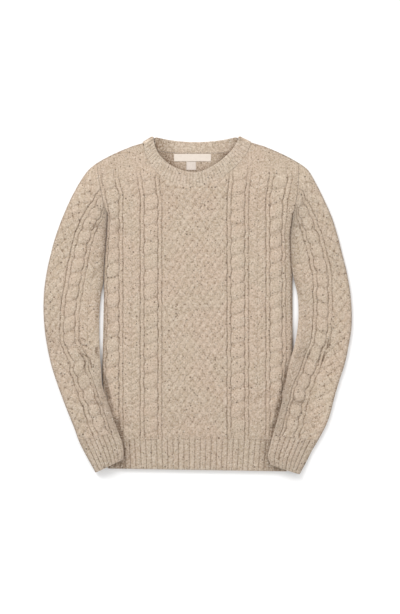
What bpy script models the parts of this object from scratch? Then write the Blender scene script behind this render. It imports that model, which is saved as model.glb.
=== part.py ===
"""Fisherman sweater, laid flat with its front up. Metres, +Z up, the neck toward +Y.

Every piece is one closed wall. Places on the garment are given as it is measured on a table:
"across" from the centre line of the body, "down" from the top of the neckband.
"""

import math
from collections import namedtuple

import bmesh
import bpy
from mathutils import Vector

# Knitted walls, and how the layers lie on each other
WALL = 0.0032
SEAM_GAP = 0.0003
LAYER_GAP = 0.0024
FRONT_UNDER = WALL + LAYER_GAP
FRONT_TOP = FRONT_UNDER + WALL
SIDE_SEAM_HEIGHT = 0.0044
SEAM_LIP = 0.0006
FOLD_REACH = 0.007

# Raised knitting, measured from the plain face of the wall
LATTICE_RAISED = 0.0026
CABLE_RAISED = 0.0030
CHEVRON_RAISED = 0.0024
MOSS_RAISED = 0.0013
GROOVE_DEPTH = 0.0013
LOW_STITCH = 0.0004
EDGE_FADE_REACH = 0.006
YOKE_FADE_DOWN, YOKE_FADE_REACH = 0.060, 0.050
FULL_COURSE = 0.010
RIB_RAISED = 0.0018
HEM_RIBS = 33
CUFF_RIBS = 9
CABLE_STEPS = 3
CHEVRON_STEPS = 3

# The whole garment, and the places that its pieces share
GARMENT_LENGTH = 0.6775
ARM_MIDDLE = -0.0015
UNDERARM_DOWN = 0.156
SHOULDER_TIP_DOWN = 0.054
RIB_TOP_DOWN = 0.606
HEM_DOWN = 0.667
HEM_TILT = 0.003
YOKE_DOWN = 0.126
YOKE_STEPS = 9
YOKE_FLARE = 0.062
YOKE_FLARE_REACH = 0.55
ARMHOLE_BOW = 0.004
ARMHOLE_START = 0.012
BODY_HALF = 0.189
SIDE_HELD = 0.160
BODY_STEPS = 48
BACK_YOKE_STEPS = 5

# Neck seam: where the neckband is sewn to the front and to the back
NECK_MIDDLE = -0.002
NECK_HALF = 0.106
NECK_CORNER_DOWN = 0.017
FRONT_NECK_DOWN = 0.102
BACK_NECK_DOWN = 0.0345
NECK_ROUNDNESS = {-1: 2.0, 1: 1.5}
BAND_THICKNESS = 0.005
BAND_RIB = 0.0012
BAND_BASE_DOWN = 0.005
BAND_FRONT_DOWN = 0.073
BAND_BACK_DOWN = 0.0125
BAND_BACK_CORNER = 0.0034
BAND_INNER_MIDDLE = -0.004
BAND_INNER_HALF = 0.084
FRONT_BAND_RIBS = 23
BACK_BAND_RIBS = 17
BAND_FOLD_STEPS = 4
FRONT_SEAM_SCALE = 0.995
BACK_SEAM_SCALE = 0.996
BACK_SEAM_CENTRE_DOWN = -0.080

PATTERN_MIDDLE = -0.0070
LABEL_SIZE = (0.074, 0.015, 0.0008)
LABEL_PLACE = (-0.011, 0.0436)
TAB_SIZE = (0.019, 0.0165, 0.0007)
TAB_PLACE = (-0.0137, 0.0600)

LEFT, RIGHT = -1, 1
MERGE = 0.000001

# Half widths of the body, on each side of its centre line
Edge = namedtuple("Edge", "down left right")
BODY_EDGES = (
    Edge(0.054, 0.2006, 0.2006),
    Edge(0.156, 0.1806, 0.1896),
    Edge(0.200, 0.1826, 0.1838),
    Edge(0.232, 0.1850, 0.1846),
    Edge(0.268, 0.1874, 0.1868),
    Edge(0.300, 0.1880, 0.1868),
    Edge(0.345, 0.1868, 0.1870),
    Edge(0.400, 0.1876, 0.1882),
    Edge(0.464, 0.1914, 0.1890),
    Edge(0.606, 0.1860, 0.1850),
    Edge(0.670, 0.1800, 0.1770),
)

# The shoulder line, from the neck corner to the tip of the shoulder
Shoulder = namedtuple("Shoulder", "across down")
SHOULDER_LINE = (
    Shoulder(0.104, 0.0130),
    Shoulder(0.130, 0.0205),
    Shoulder(0.150, 0.0285),
    Shoulder(0.168, 0.0365),
    Shoulder(0.184, 0.0445),
    Shoulder(0.2006, 0.0540),
)

# Sections of each sleeve from the armhole to the end of the cuff, at the outer and inner edges
Section = namedtuple("Section", "outer_across outer_down inner_across inner_down")
SLEEVES = {
    LEFT: (
        Section(0.2010, 0.054, 0.1810, 0.156),
        Section(0.2200, 0.070, 0.1815, 0.164),
        Section(0.2385, 0.097, 0.1821, 0.178),
        Section(0.2550, 0.128, 0.1829, 0.195),
        Section(0.2700, 0.162, 0.1843, 0.215),
        Section(0.2840, 0.200, 0.1861, 0.240),
        Section(0.2940, 0.236, 0.1879, 0.266),
        Section(0.3020, 0.272, 0.1888, 0.292),
        Section(0.3075, 0.312, 0.1940, 0.320),
        Section(0.3085, 0.352, 0.1965, 0.352),
        Section(0.3060, 0.388, 0.1972, 0.384),
        Section(0.3010, 0.422, 0.1966, 0.414),
        Section(0.2935, 0.456, 0.1950, 0.442),
        Section(0.2830, 0.490, 0.1924, 0.468),
        Section(0.2700, 0.526, 0.1905, 0.496),
        Section(0.2575, 0.558, 0.1805, 0.530),
        Section(0.2470, 0.584, 0.1700, 0.560),
        Section(0.2385, 0.608, 0.1590, 0.590),
        Section(0.2290, 0.628, 0.1510, 0.611),
        Section(0.2170, 0.650, 0.1480, 0.630),
        Section(0.2045, 0.672, 0.1490, 0.645),
    ),
    RIGHT: (
        Section(0.2010, 0.054, 0.1900, 0.156),
        Section(0.2200, 0.069, 0.1890, 0.165),
        Section(0.2360, 0.096, 0.1870, 0.180),
        Section(0.2520, 0.128, 0.1848, 0.197),
        Section(0.2670, 0.162, 0.1848, 0.217),
        Section(0.2790, 0.200, 0.1858, 0.242),
        Section(0.2880, 0.236, 0.1876, 0.268),
        Section(0.2970, 0.272, 0.1932, 0.294),
        Section(0.3040, 0.312, 0.1990, 0.320),
        Section(0.3070, 0.352, 0.2008, 0.352),
        Section(0.3060, 0.388, 0.1988, 0.382),
        Section(0.3000, 0.424, 0.1935, 0.412),
        Section(0.2930, 0.456, 0.1850, 0.442),
        Section(0.2820, 0.490, 0.1786, 0.470),
        Section(0.2720, 0.524, 0.1732, 0.498),
        Section(0.2640, 0.556, 0.1665, 0.533),
        Section(0.2540, 0.582, 0.1590, 0.562),
        Section(0.2400, 0.608, 0.1490, 0.596),
        Section(0.2270, 0.630, 0.1430, 0.620),
        Section(0.2160, 0.652, 0.1390, 0.640),
        Section(0.2030, 0.6755, 0.1450, 0.656),
    ),
}
CUFF_SECTION = 17
CUFF_SEAM_STATIONS = 0.010
SLEEVE_STEPS = 38
SLEEVE_INSIDE_STEPS = 10
CUFF_STEPS = 3
CUFF_INSIDE_STEPS = 1
FINE_STATIONS = 200

# How far a sleeve's pattern is turned toward its inner edge, in widths of the sleeve
Twist = namedtuple("Twist", "station shift")
SLEEVE_TWIST = {
    LEFT: (
        Twist(0.0, 0.22), Twist(1.0, 0.22), Twist(2.0, 0.18), Twist(3.0, 0.10),
        Twist(4.0, 0.045), Twist(8.0, 0.0), Twist(10.7, -0.062), Twist(11.3, -0.025),
        Twist(12.15, 0.088), Twist(13.1, 0.065), Twist(14.0, 0.138), Twist(17.0, 0.145),
    ),
    RIGHT: (
        Twist(0.0, 0.21), Twist(1.0, 0.14), Twist(2.0, 0.105), Twist(3.0, 0.04),
        Twist(4.0, 0.01), Twist(6.0, -0.050), Twist(8.0, 0.030), Twist(9.0, 0.057),
        Twist(11.0, 0.050), Twist(13.0, 0.130), Twist(14.0, 0.200), Twist(15.5, 0.210),
        Twist(17.0, 0.170),
    ),
}

# Where each sleeve climbs from the table onto the edge of the body
Climb = namedtuple("Climb", "starts_down full_down")
CLIMBS = {LEFT: Climb(0.400, 0.470), RIGHT: Climb(0.350, 0.418)}
CLIMB_HEIGHT = FRONT_TOP + CABLE_RAISED + 0.0005
CLIMB_WIDTH = 0.040

# Creases inside the elbows: where they start at the inner edge and how they run
Crease = namedtuple("Crease", "side inner_fraction station reach slant depth half_width")
CREASES = (
    Crease(LEFT, 1.0, 10.6, 0.55, -0.5, 0.0016, 0.45),
    Crease(LEFT, 0.9, 11.6, 0.40, 0.5, 0.0012, 0.40),
    Crease(RIGHT, 1.0, 10.7, 0.50, -0.4, 0.0014, 0.45),
    Crease(RIGHT, 0.7, 9.2, 0.35, 0.4, 0.0012, 0.40),
)

# Knitted panels, in order from the middle of the pattern outward, and across a sleeve
Panel = namedtuple("Panel", "kind width cells")
BODY_PANELS = (
    Panel("lattice", 0.0645, 8),
    Panel("gutter", 0.0090, 2),
    Panel("cable", 0.0262, 4),
    Panel("gutter", 0.0090, 2),
    Panel("chevron", 0.0334, 4),
    Panel("gutter", 0.0090, 2),
    Panel("cable", 0.0237, 4),
)
SIDE_PANELS = {LEFT: (), RIGHT: (Panel("gutter", 0.0090, 2), Panel("moss", 0.0052, 1))}
SLEEVE_PANELS = (
    Panel("lattice", 0.26, 4),
    Panel("gutter", 0.08, 2),
    Panel("cable", 0.18, 4),
    Panel("gutter", 0.08, 2),
    Panel("chevron", 0.26, 5),
)
SLEEVE_FOLD = 0.07
FOLD_COLUMNS = (0.0, 0.15, 0.45)
UNDER_COLUMNS = (1.0, 0.97, 0.85, 0.62, 0.38, 0.22, 0.10, 0.03)
RIB_COLUMNS = ((0.0, 0.0), (0.3, 1.0), (0.7, 1.0))
HEM_MARGIN = 0.012
HEM_FOLD = 0.004

# Columns of the back, as distances from the body's centre line, before the yoke fans them out
NECK_CORNERS = {side: (NECK_MIDDLE + side * NECK_HALF) / (1.0 + YOKE_FLARE)
                for side in (LEFT, RIGHT)}
BACK_COLUMNS = (
    -0.1890, -0.1870, -0.1820, -0.160, -0.130, NECK_CORNERS[LEFT], -0.0923, -0.076, -0.052,
    -0.028, -0.002, 0.024, 0.050, 0.072, 0.0885, NECK_CORNERS[RIGHT], 0.130, 0.160, 0.1820,
    0.1870, 0.1890,
)

YARN = (0.558, 0.440, 0.338)
LABEL_CREAM = (0.86, 0.79, 0.69)


def smooth(value):
    """Ease from 0 to 1 as the value goes from 0 to 1."""
    value = min(1.0, max(0.0, value))
    return value * value * (3.0 - 2.0 * value)


def read_table(rows, key, column, value):
    """Read one column of a table at a value between its rows."""
    for low, high in zip(rows, rows[1:]):
        if value <= getattr(high, key):
            break
    span = getattr(high, key) - getattr(low, key)
    part = min(1.0, max(0.0, (value - getattr(low, key)) / span))
    return getattr(low, column) * (1.0 - part) + getattr(high, column) * part


def place(across, down, height):
    """A point of the garment in the part's frame."""
    return Vector((across - ARM_MIDDLE, GARMENT_LENGTH / 2.0 - down, height))


def quarter_round(distance, reach):
    """Rise of a rounded fold, 0 at its edge and 1 past its reach."""
    part = min(1.0, max(0.0, distance / reach))
    return math.sqrt(1.0 - (1.0 - part) ** 2)


def armhole_bow(part):
    """How far the armhole seam bows outward, at a part of its length."""
    return ARMHOLE_BOW * 4.0 * part * (1.0 - part) if 0.0 < part < 1.0 else 0.0


def body_edge(side, down):
    """Half width of the body at one side."""
    column = "left" if side == LEFT else "right"
    part = (down - SHOULDER_TIP_DOWN) / (UNDERARM_DOWN - SHOULDER_TIP_DOWN)
    return read_table(BODY_EDGES, "down", column, down) + armhole_bow(part)


def neck_depth(across, deepest):
    """Down to the neck seam, with one roundness on each side of the front."""
    away = (across - NECK_MIDDLE) / NECK_HALF
    power = 4.0
    if deepest == FRONT_NECK_DOWN:
        power = NECK_ROUNDNESS[LEFT if away < 0.0 else RIGHT]
    root = 1.0 if deepest == BACK_NECK_DOWN else 1.0 / power
    dip = max(0.0, 1.0 - min(1.0, abs(away)) ** power) ** root
    return NECK_CORNER_DOWN + (deepest - NECK_CORNER_DOWN) * dip


def panel_top(across, deepest):
    """Down to the upper edge of a panel: its neck, or its shoulder."""
    if abs(across - NECK_MIDDLE) <= NECK_HALF + MERGE:
        return neck_depth(across, deepest)
    return read_table(SHOULDER_LINE, "across", "down", abs(across))


def body_columns():
    """The columns of the front: (side, distance from the pattern's middle, kind, part)."""
    columns = []
    for side in (LEFT, RIGHT):
        half = []
        start = 0.0
        for panel in BODY_PANELS + SIDE_PANELS[side]:
            for cell in range(panel.cells):
                part = cell / panel.cells
                half.append((side, start + part * panel.width, panel.kind, part))
            start += panel.width
        corner = side * (NECK_CORNERS[side] - PATTERN_MIDDLE)
        nearest = min(half, key=lambda column: abs(column[1] - corner))
        half[half.index(nearest)] = (side, corner, *nearest[2:])
        edge = BODY_HALF - side * PATTERN_MIDDLE
        for turn in (1.0, *reversed(FOLD_COLUMNS)):
            half.append((side, edge - FOLD_REACH * turn, "fold", turn))
        if side == LEFT:
            columns = half[:0:-1]
        else:
            columns += half
    return columns


def body_rows(steps_below, yoke_steps):
    """Rows of a body panel: straight ones below the yoke, then parts of the way to its top."""
    step = (RIB_TOP_DOWN - SEAM_GAP - YOKE_DOWN) / steps_below
    rows = [(RIB_TOP_DOWN - SEAM_GAP - step * row, 0.0) for row in range(steps_below)]
    rows += [(YOKE_DOWN, part / yoke_steps) for part in range(yoke_steps + 1)]
    return rows


def body_place(straight, row, deepest):
    """Across and down of a body point. The columns fan out over the yoke and follow the edge."""
    straight_down, part = row
    flare = 1.0 + YOKE_FLARE * smooth(part / YOKE_FLARE_REACH)
    if abs(straight) <= SIDE_HELD:
        top = panel_top(straight * (1.0 + YOKE_FLARE), deepest)
        return straight * flare, straight_down * (1.0 - part) + top * part
    side = LEFT if straight < 0.0 else RIGHT
    share = (abs(straight) - SIDE_HELD) / (BODY_HALF - SIDE_HELD)
    held = SIDE_HELD * (1.0 + YOKE_FLARE)
    tip = SHOULDER_LINE[-1].across
    top = read_table(SHOULDER_LINE, "across", "down", held + share * (tip - held))
    down = straight_down * (1.0 - part) + top * part
    held = SIDE_HELD * flare
    return side * (held + share * (body_edge(side, down) - held)), down


def from_side(across, down):
    """Distance inside the side seam, or far inside along the armhole."""
    side = LEFT if across < 0.0 else RIGHT
    distance = body_edge(side, down) - abs(across)
    return distance + FOLD_REACH * smooth((UNDERARM_DOWN - down) / ARMHOLE_START)


def from_shoulder(across, down, deepest):
    """Distance below the shoulder seam, or far below it along the neck."""
    if abs(across - NECK_MIDDLE) < NECK_HALF + MERGE:
        return FOLD_REACH
    return down - panel_top(across, deepest)


def knit_height(kind, part, column, row):
    """Height of the knitting above the wall's plain face."""
    if kind == "lattice":
        return LATTICE_RAISED if (column + row) % 2 else LOW_STITCH
    if kind == "gutter":
        return -GROOVE_DEPTH if 0.25 < part < 0.75 else LOW_STITCH
    if kind == "cable":
        twist = 0.5 + 0.5 * math.cos(2.0 * math.pi * (part - row / CABLE_STEPS))
        return CABLE_RAISED * math.sin(math.pi * part) ** 0.5 * (0.45 + 0.55 * twist)
    if kind == "chevron":
        slope = abs(part - 0.5) * 1.4
        wave = 0.5 + 0.5 * math.cos(2.0 * math.pi * (slope + row / CHEVRON_STEPS))
        return CHEVRON_RAISED * (0.25 + 0.75 * wave)
    if kind == "moss":
        return MOSS_RAISED if (column + row) % 2 else LOW_STITCH
    return 0.0


def keep(name, bm, material):
    """Finish a mesh and put it in the garment's collection."""
    bmesh.ops.recalc_face_normals(bm, faces=bm.faces[:])
    mesh = bpy.data.meshes.new(name)
    bm.to_mesh(mesh)
    bm.free()
    mesh.shade_smooth()
    mesh.set_sharp_from_angle(angle=math.radians(50.0))
    mesh.materials.append(material)
    piece = bpy.data.objects.new(name, mesh)
    garment.objects.link(piece)
    return piece


def yarn(name, colour, roughness):
    """A plain matt material for one piece."""
    material = bpy.data.materials.new(name)
    material.use_nodes = True
    shader = material.node_tree.nodes["Principled BSDF"]
    shader.inputs["Base Color"].default_value = (*colour, 1.0)
    shader.inputs["Roughness"].default_value = roughness
    shader.inputs["Metallic"].default_value = 0.0
    return material


def map_grid(bm, across_cells, along_cells, surface):
    """A grid whose points are moved to surface(column, row)."""
    made = bmesh.ops.create_grid(bm, x_segments=across_cells, y_segments=along_cells, size=0.5)
    for vert in made["verts"]:
        column = round((vert.co.x + 0.5) * across_cells)
        row = round((vert.co.y + 0.5) * along_cells)
        vert.co = surface(column, row)
    return made["verts"]


def flat_wall(name, columns, rows, outside, inside, plain, material):
    """A closed wall between two mapped grids, with its plain faces thinned out."""
    bm = bmesh.new()
    outer = map_grid(bm, columns, rows, outside)
    inner = map_grid(bm, columns, rows, inside)
    border = [edge for edge in bm.edges if edge.is_boundary]
    bmesh.ops.bridge_loops(bm, edges=border)
    bm.verts.index_update()
    outer_side = set(outer)
    crossing = [edge for edge in bm.edges
                if (edge.verts[0] in outer_side) != (edge.verts[1] in outer_side)]
    rim = {vert for edge in crossing for vert in edge.verts}
    thinned = set(inner + outer if plain else inner)
    loose = [vert for vert in thinned if vert not in rim]
    loose.sort(key=lambda vert: vert.index)
    kept_edges = set(crossing)
    edges = [edge for edge in bm.edges
             if edge not in kept_edges and all(vert in thinned for vert in edge.verts)]
    bmesh.ops.dissolve_limit(bm, angle_limit=math.radians(1.0), verts=loose, edges=edges)
    wide = [face for face in bm.faces if len(face.verts) > 4]
    bmesh.ops.triangulate(bm, faces=wide, quad_method="BEAUTY", ngon_method="BEAUTY")
    return keep(name, bm, material)


def front_panel():
    """The front: cables, lattice and chevrons raised over a plain inside."""
    columns = body_columns()
    rows = body_rows(BODY_STEPS, YOKE_STEPS)

    def spot(column, row):
        side, distance, kind, part = columns[column]
        across, down = body_place(PATTERN_MIDDLE + side * distance, rows[row], FRONT_NECK_DOWN)
        side_room = from_side(across, down)
        shoulder_room = from_shoulder(across, down, FRONT_NECK_DOWN)
        return across, down, side_room, shoulder_room, kind, part

    def outside(column, row):
        across, down, side_room, shoulder_room, kind, part = spot(column, row)
        rise = quarter_round(side_room, FOLD_REACH) * quarter_round(shoulder_room, FOLD_REACH)
        base = SIDE_SEAM_HEIGHT + SEAM_LIP
        edge_fade = smooth((down - panel_top(across, FRONT_NECK_DOWN)) / EDGE_FADE_REACH)
        yoke_fade = 0.55 + 0.45 * smooth((down - YOKE_FADE_DOWN) / YOKE_FADE_REACH)
        if row > len(rows) - 1 - YOKE_STEPS:
            step = (YOKE_DOWN - panel_top(across, FRONT_NECK_DOWN)) / YOKE_STEPS
            yoke_fade *= smooth(step / FULL_COURSE)
        raised = knit_height(kind, part, column, row) * edge_fade * yoke_fade
        return place(across, down, base + (FRONT_TOP + raised - base) * rise)

    def inside(column, row):
        across, down, side_room, shoulder_room, kind, part = spot(column, row)
        room = min(side_room, shoulder_room, FOLD_REACH) / FOLD_REACH
        low = SIDE_SEAM_HEIGHT + SEAM_GAP / 2.0
        return place(across, down, low + (FRONT_UNDER - low) * max(0.0, room))

    return flat_wall("front_panel", len(columns) - 1, len(rows) - 1, outside, inside, False,
                     yarn("front_yarn", YARN, 0.9))


def back_panel():
    """The back: flat on the table, its edges turned up to meet the front."""
    rows = body_rows(BODY_STEPS, BACK_YOKE_STEPS)

    def spot(column, row):
        across, down = body_place(BACK_COLUMNS[column], rows[row], BACK_NECK_DOWN)
        room = min(from_side(across, down), from_shoulder(across, down, BACK_NECK_DOWN))
        return across, down, max(0.0, room)

    def outside(column, row):
        across, down, room = spot(column, row)
        high = SIDE_SEAM_HEIGHT - SEAM_GAP / 2.0 - SEAM_LIP
        return place(across, down, high * (1.0 - quarter_round(room, FOLD_REACH)))

    def inside(column, row):
        across, down, room = spot(column, row)
        high = SIDE_SEAM_HEIGHT - SEAM_GAP / 2.0
        return place(across, down, high + (WALL - high) * min(1.0, room / FOLD_REACH))

    return flat_wall("back_panel", len(BACK_COLUMNS) - 1, len(rows) - 1, outside, inside, True,
                     yarn("back_yarn", YARN, 0.9))


def hem_columns(ribbed):
    """Columns of the hem between its side edges, as parts of its width: (part, raised)."""
    columns = [(0.0, 0.0), (HEM_FOLD, 0.0)]
    for rib in range(HEM_RIBS):
        for place_in_rib, raised in RIB_COLUMNS:
            part = HEM_MARGIN + (1.0 - 2.0 * HEM_MARGIN) * (rib + place_in_rib) / HEM_RIBS
            if ribbed or place_in_rib == 0.0 and rib % 4 == 0:
                columns.append((part, raised))
    columns += [(1.0 - HEM_MARGIN, 0.0), (1.0 - HEM_FOLD, 0.0), (1.0, 0.0)]
    return columns


def hem_spot(part, row, rows):
    """Across, down and distance from the side of a hem point."""
    share = row / rows
    top = RIB_TOP_DOWN + SEAM_GAP / 2.0
    down = top + (HEM_DOWN - top) * (1.0 - share)
    left = body_edge(LEFT, down)
    right = body_edge(RIGHT, down)
    across = -left + (left + right) * part
    down += HEM_TILT * (across / BODY_HALF) * (1.0 - share)
    return across, down, min(across + left, right - across)


def hem_rib(name, is_front):
    """One half of the ribbed hem."""
    columns = hem_columns(is_front)
    rows = 2 if is_front else 1

    def outside(column, row):
        part, raised = columns[column]
        across, down, room = hem_spot(part, row, rows)
        rise = quarter_round(room, FOLD_REACH)
        if not is_front:
            high = SIDE_SEAM_HEIGHT - SEAM_GAP / 2.0 - SEAM_LIP
            return place(across, down, high * (1.0 - rise))
        edge = 0.45 if row in (0, rows) else 1.0
        top = FRONT_TOP + RIB_RAISED * raised * edge
        base = SIDE_SEAM_HEIGHT + SEAM_LIP
        return place(across, down, base + (top - base) * rise)

    def inside(column, row):
        across, down, room = hem_spot(columns[column][0], row, rows)
        share = min(1.0, room / FOLD_REACH)
        if is_front:
            low = SIDE_SEAM_HEIGHT + SEAM_GAP / 2.0
            return place(across, down, low + (FRONT_UNDER - low) * share)
        high = SIDE_SEAM_HEIGHT - SEAM_GAP / 2.0
        return place(across, down, high + (WALL - high) * share)

    return flat_wall(name, len(columns) - 1, rows, outside, inside, not is_front,
                     yarn(name + "_yarn", YARN, 0.9))


def sleeve_section(side, station):
    """The section at a station between the rows of the sleeve's table, on a smooth curve."""
    table = SLEEVES[side]
    low = min(int(station), len(table) - 2)
    part = station - low
    rows = [table[min(max(low + step, 0), len(table) - 1)] for step in (-1, 0, 1, 2)]
    values = []
    for before, start, end, after in zip(*rows):
        bend = 2.0 * before - 5.0 * start + 4.0 * end - after
        twist = 3.0 * start - before - 3.0 * end + after
        value = start + 0.5 * part * (end - before + part * (bend + part * twist))
        values.append(value)
    return Section(*values)


def even_stations(side, first, last, steps):
    """Stations evenly spaced along the middle of the sleeve."""
    fine = [first + (last - first) * step / FINE_STATIONS for step in range(FINE_STATIONS + 1)]
    lengths = [0.0]
    middles = []
    for station in fine:
        section = sleeve_section(side, station)
        middles.append(Vector(((section.outer_across + section.inner_across) / 2.0,
                               (section.outer_down + section.inner_down) / 2.0)))
    for before, after in zip(middles, middles[1:]):
        lengths.append(lengths[-1] + (after - before).length)
    stations = []
    for step in range(steps + 1):
        wanted = lengths[-1] * step / steps
        index = next((k for k in range(1, FINE_STATIONS) if lengths[k] >= wanted), FINE_STATIONS)
        span = lengths[index] - lengths[index - 1]
        part = (wanted - lengths[index - 1]) / span
        stations.append(fine[index - 1] + (fine[index] - fine[index - 1]) * part)
    return stations


def table_height(side, across, down):
    """What a sleeve lies on: the table, or the body where the sleeve crosses its edge."""
    climb = CLIMBS[side]
    outside = across - body_edge(side, min(down, HEM_DOWN))
    ramp = smooth((CLIMB_WIDTH - outside) / CLIMB_WIDTH)
    along = smooth((down - climb.starts_down) / (climb.full_down - climb.starts_down))
    return CLIMB_HEIGHT * ramp * along


def crease_depth(side, part, station):
    """Depth of the elbow creases at a point of the sleeve."""
    depth = 0.0
    for crease in CREASES:
        if crease.side != side:
            continue
        inward = (crease.inner_fraction - part) / crease.reach
        if not 0.0 <= inward <= 1.0:
            continue
        line = crease.station + crease.slant * inward
        near = max(0.0, 1.0 - abs(station - line) / crease.half_width)
        depth = max(depth, crease.depth * smooth(near) * (1.0 - inward ** 2))
    return depth


def round_tube(top):
    """All columns round a flattened tube, from those of its upper face between the folds."""
    start = [(SLEEVE_FOLD * turn, True, "fold", 0.0) for turn in FOLD_COLUMNS]
    end = [(1.0 - SLEEVE_FOLD * turn, True, "fold", 0.0) for turn in (1.0, *FOLD_COLUMNS[:0:-1])]
    under = [(part, False, "fold", 0.0) for part in UNDER_COLUMNS]
    return start + top + end + under + start[:1]


def sleeve_columns():
    """Columns round a sleeve: (part across, is on top, kind, part of the panel)."""
    top = []
    start = SLEEVE_FOLD
    for panel in SLEEVE_PANELS:
        for cell in range(panel.cells):
            part = cell / panel.cells
            top.append((start + part * panel.width, True, panel.kind, part))
        start += panel.width
    return round_tube(top)


def cuff_columns():
    """Columns round a cuff, with its ribs on the upper side."""
    top = []
    for rib in range(CUFF_RIBS):
        for place_in_rib, raised in RIB_COLUMNS:
            part = SLEEVE_FOLD + (1.0 - 2.0 * SLEEVE_FOLD) * (rib + place_in_rib) / CUFF_RIBS
            top.append((part, True, "rib" if raised else "groove", 0.0))
    return round_tube(top)


def turned_part(side, station, part):
    """Part across a sleeve where a part of its pattern lies, once the arm is twisted."""
    if station > CUFF_SECTION:
        return part
    shift = read_table(SLEEVE_TWIST[side], "station", "shift", station)
    return part + 4.0 * shift * part * (1.0 - part)


def sleeve_spot(side, part, station):
    """Across and down of a sleeve point, and the sleeve's width there."""
    section = sleeve_section(side, station)
    across = section.outer_across * (1.0 - part) + section.inner_across * part
    down = section.outer_down * (1.0 - part) + section.inner_down * part
    across += armhole_bow(part) * max(0.0, 1.0 - station / 2.0)
    width = math.hypot(section.outer_across - section.inner_across,
                       section.outer_down - section.inner_down)
    return across, down, width


def sleeve_tube(name, side, columns, stations, inner_rows, material):
    """A flattened tube: its outer face carries the knitting, its inside is plain."""
    bm = bmesh.new()

    def lay(across, down, height):
        lifted = height + table_height(side, across, down)
        return place(side * across, down, lifted)

    def outside(column, row):
        part, is_top, kind, panel_part = columns[column]
        station = stations[row]
        part = turned_part(side, station, part)
        across, down, width = sleeve_spot(side, part, station)
        room = min(part, 1.0 - part) * width
        rise = quarter_round(room, FOLD_REACH)
        if not is_top:
            return lay(across, down, SIDE_SEAM_HEIGHT * (1.0 - rise))
        raised = RIB_RAISED if kind == "rib" else knit_height(kind, panel_part, column, row)
        raised *= 0.4 if row in (0, len(stations) - 1) else 1.0
        raised -= crease_depth(side, part, station)
        top = FRONT_TOP + raised
        return lay(across, down, SIDE_SEAM_HEIGHT + (top - SIDE_SEAM_HEIGHT) * rise)

    inner_stations = [stations[round(row * (len(stations) - 1) / inner_rows)]
                      for row in range(inner_rows + 1)]

    def inside(column, row):
        part, is_top = columns[column][:2]
        station = inner_stations[row]
        width = sleeve_spot(side, part, station)[2]
        held = WALL / width
        part = held + (1.0 - 2.0 * held) * turned_part(side, station, part)
        across, down, width = sleeve_spot(side, part, station)
        room = min(part, 1.0 - part) * width - WALL
        rise = quarter_round(room, FOLD_REACH - WALL)
        reach = (FRONT_UNDER if is_top else WALL) - SIDE_SEAM_HEIGHT
        return lay(across, down, SIDE_SEAM_HEIGHT + reach * rise)

    outer_rows = len(stations)
    all_rows = outer_rows + inner_rows + 1

    def there_and_back(column, row):
        row %= all_rows
        if row < outer_rows:
            return outside(column, row)
        return inside(column, all_rows - 1 - row)

    verts = map_grid(bm, len(columns) - 1, all_rows, there_and_back)
    bmesh.ops.remove_doubles(bm, verts=verts, dist=MERGE)
    return keep(name, bm, material)


def polyline_point(points, part):
    """A point at a part of a polyline's length, on its straight runs."""
    lengths = [0.0]
    for before, after in zip(points, points[1:]):
        lengths.append(lengths[-1] + (after - before).length)
    wanted = lengths[-1] * part
    for index in range(1, len(points)):
        if lengths[index] >= wanted:
            break
    share = (wanted - lengths[index - 1]) / (lengths[index] - lengths[index - 1])
    return points[index - 1].lerp(points[index], min(1.0, max(0.0, share)))


def neck_seam(columns, deepest, centre, scale):
    """The neck seam through a panel's columns, drawn in toward a centre by the seam's gap."""
    tops = [straight * (1.0 + YOKE_FLARE) for straight in columns]
    inside = [across for across in tops if abs(across - NECK_MIDDLE) <= NECK_HALF + MERGE]
    points = [Vector((across, neck_depth(across, deepest))) for across in inside]
    return [centre + (point - centre) * scale for point in points]


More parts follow.
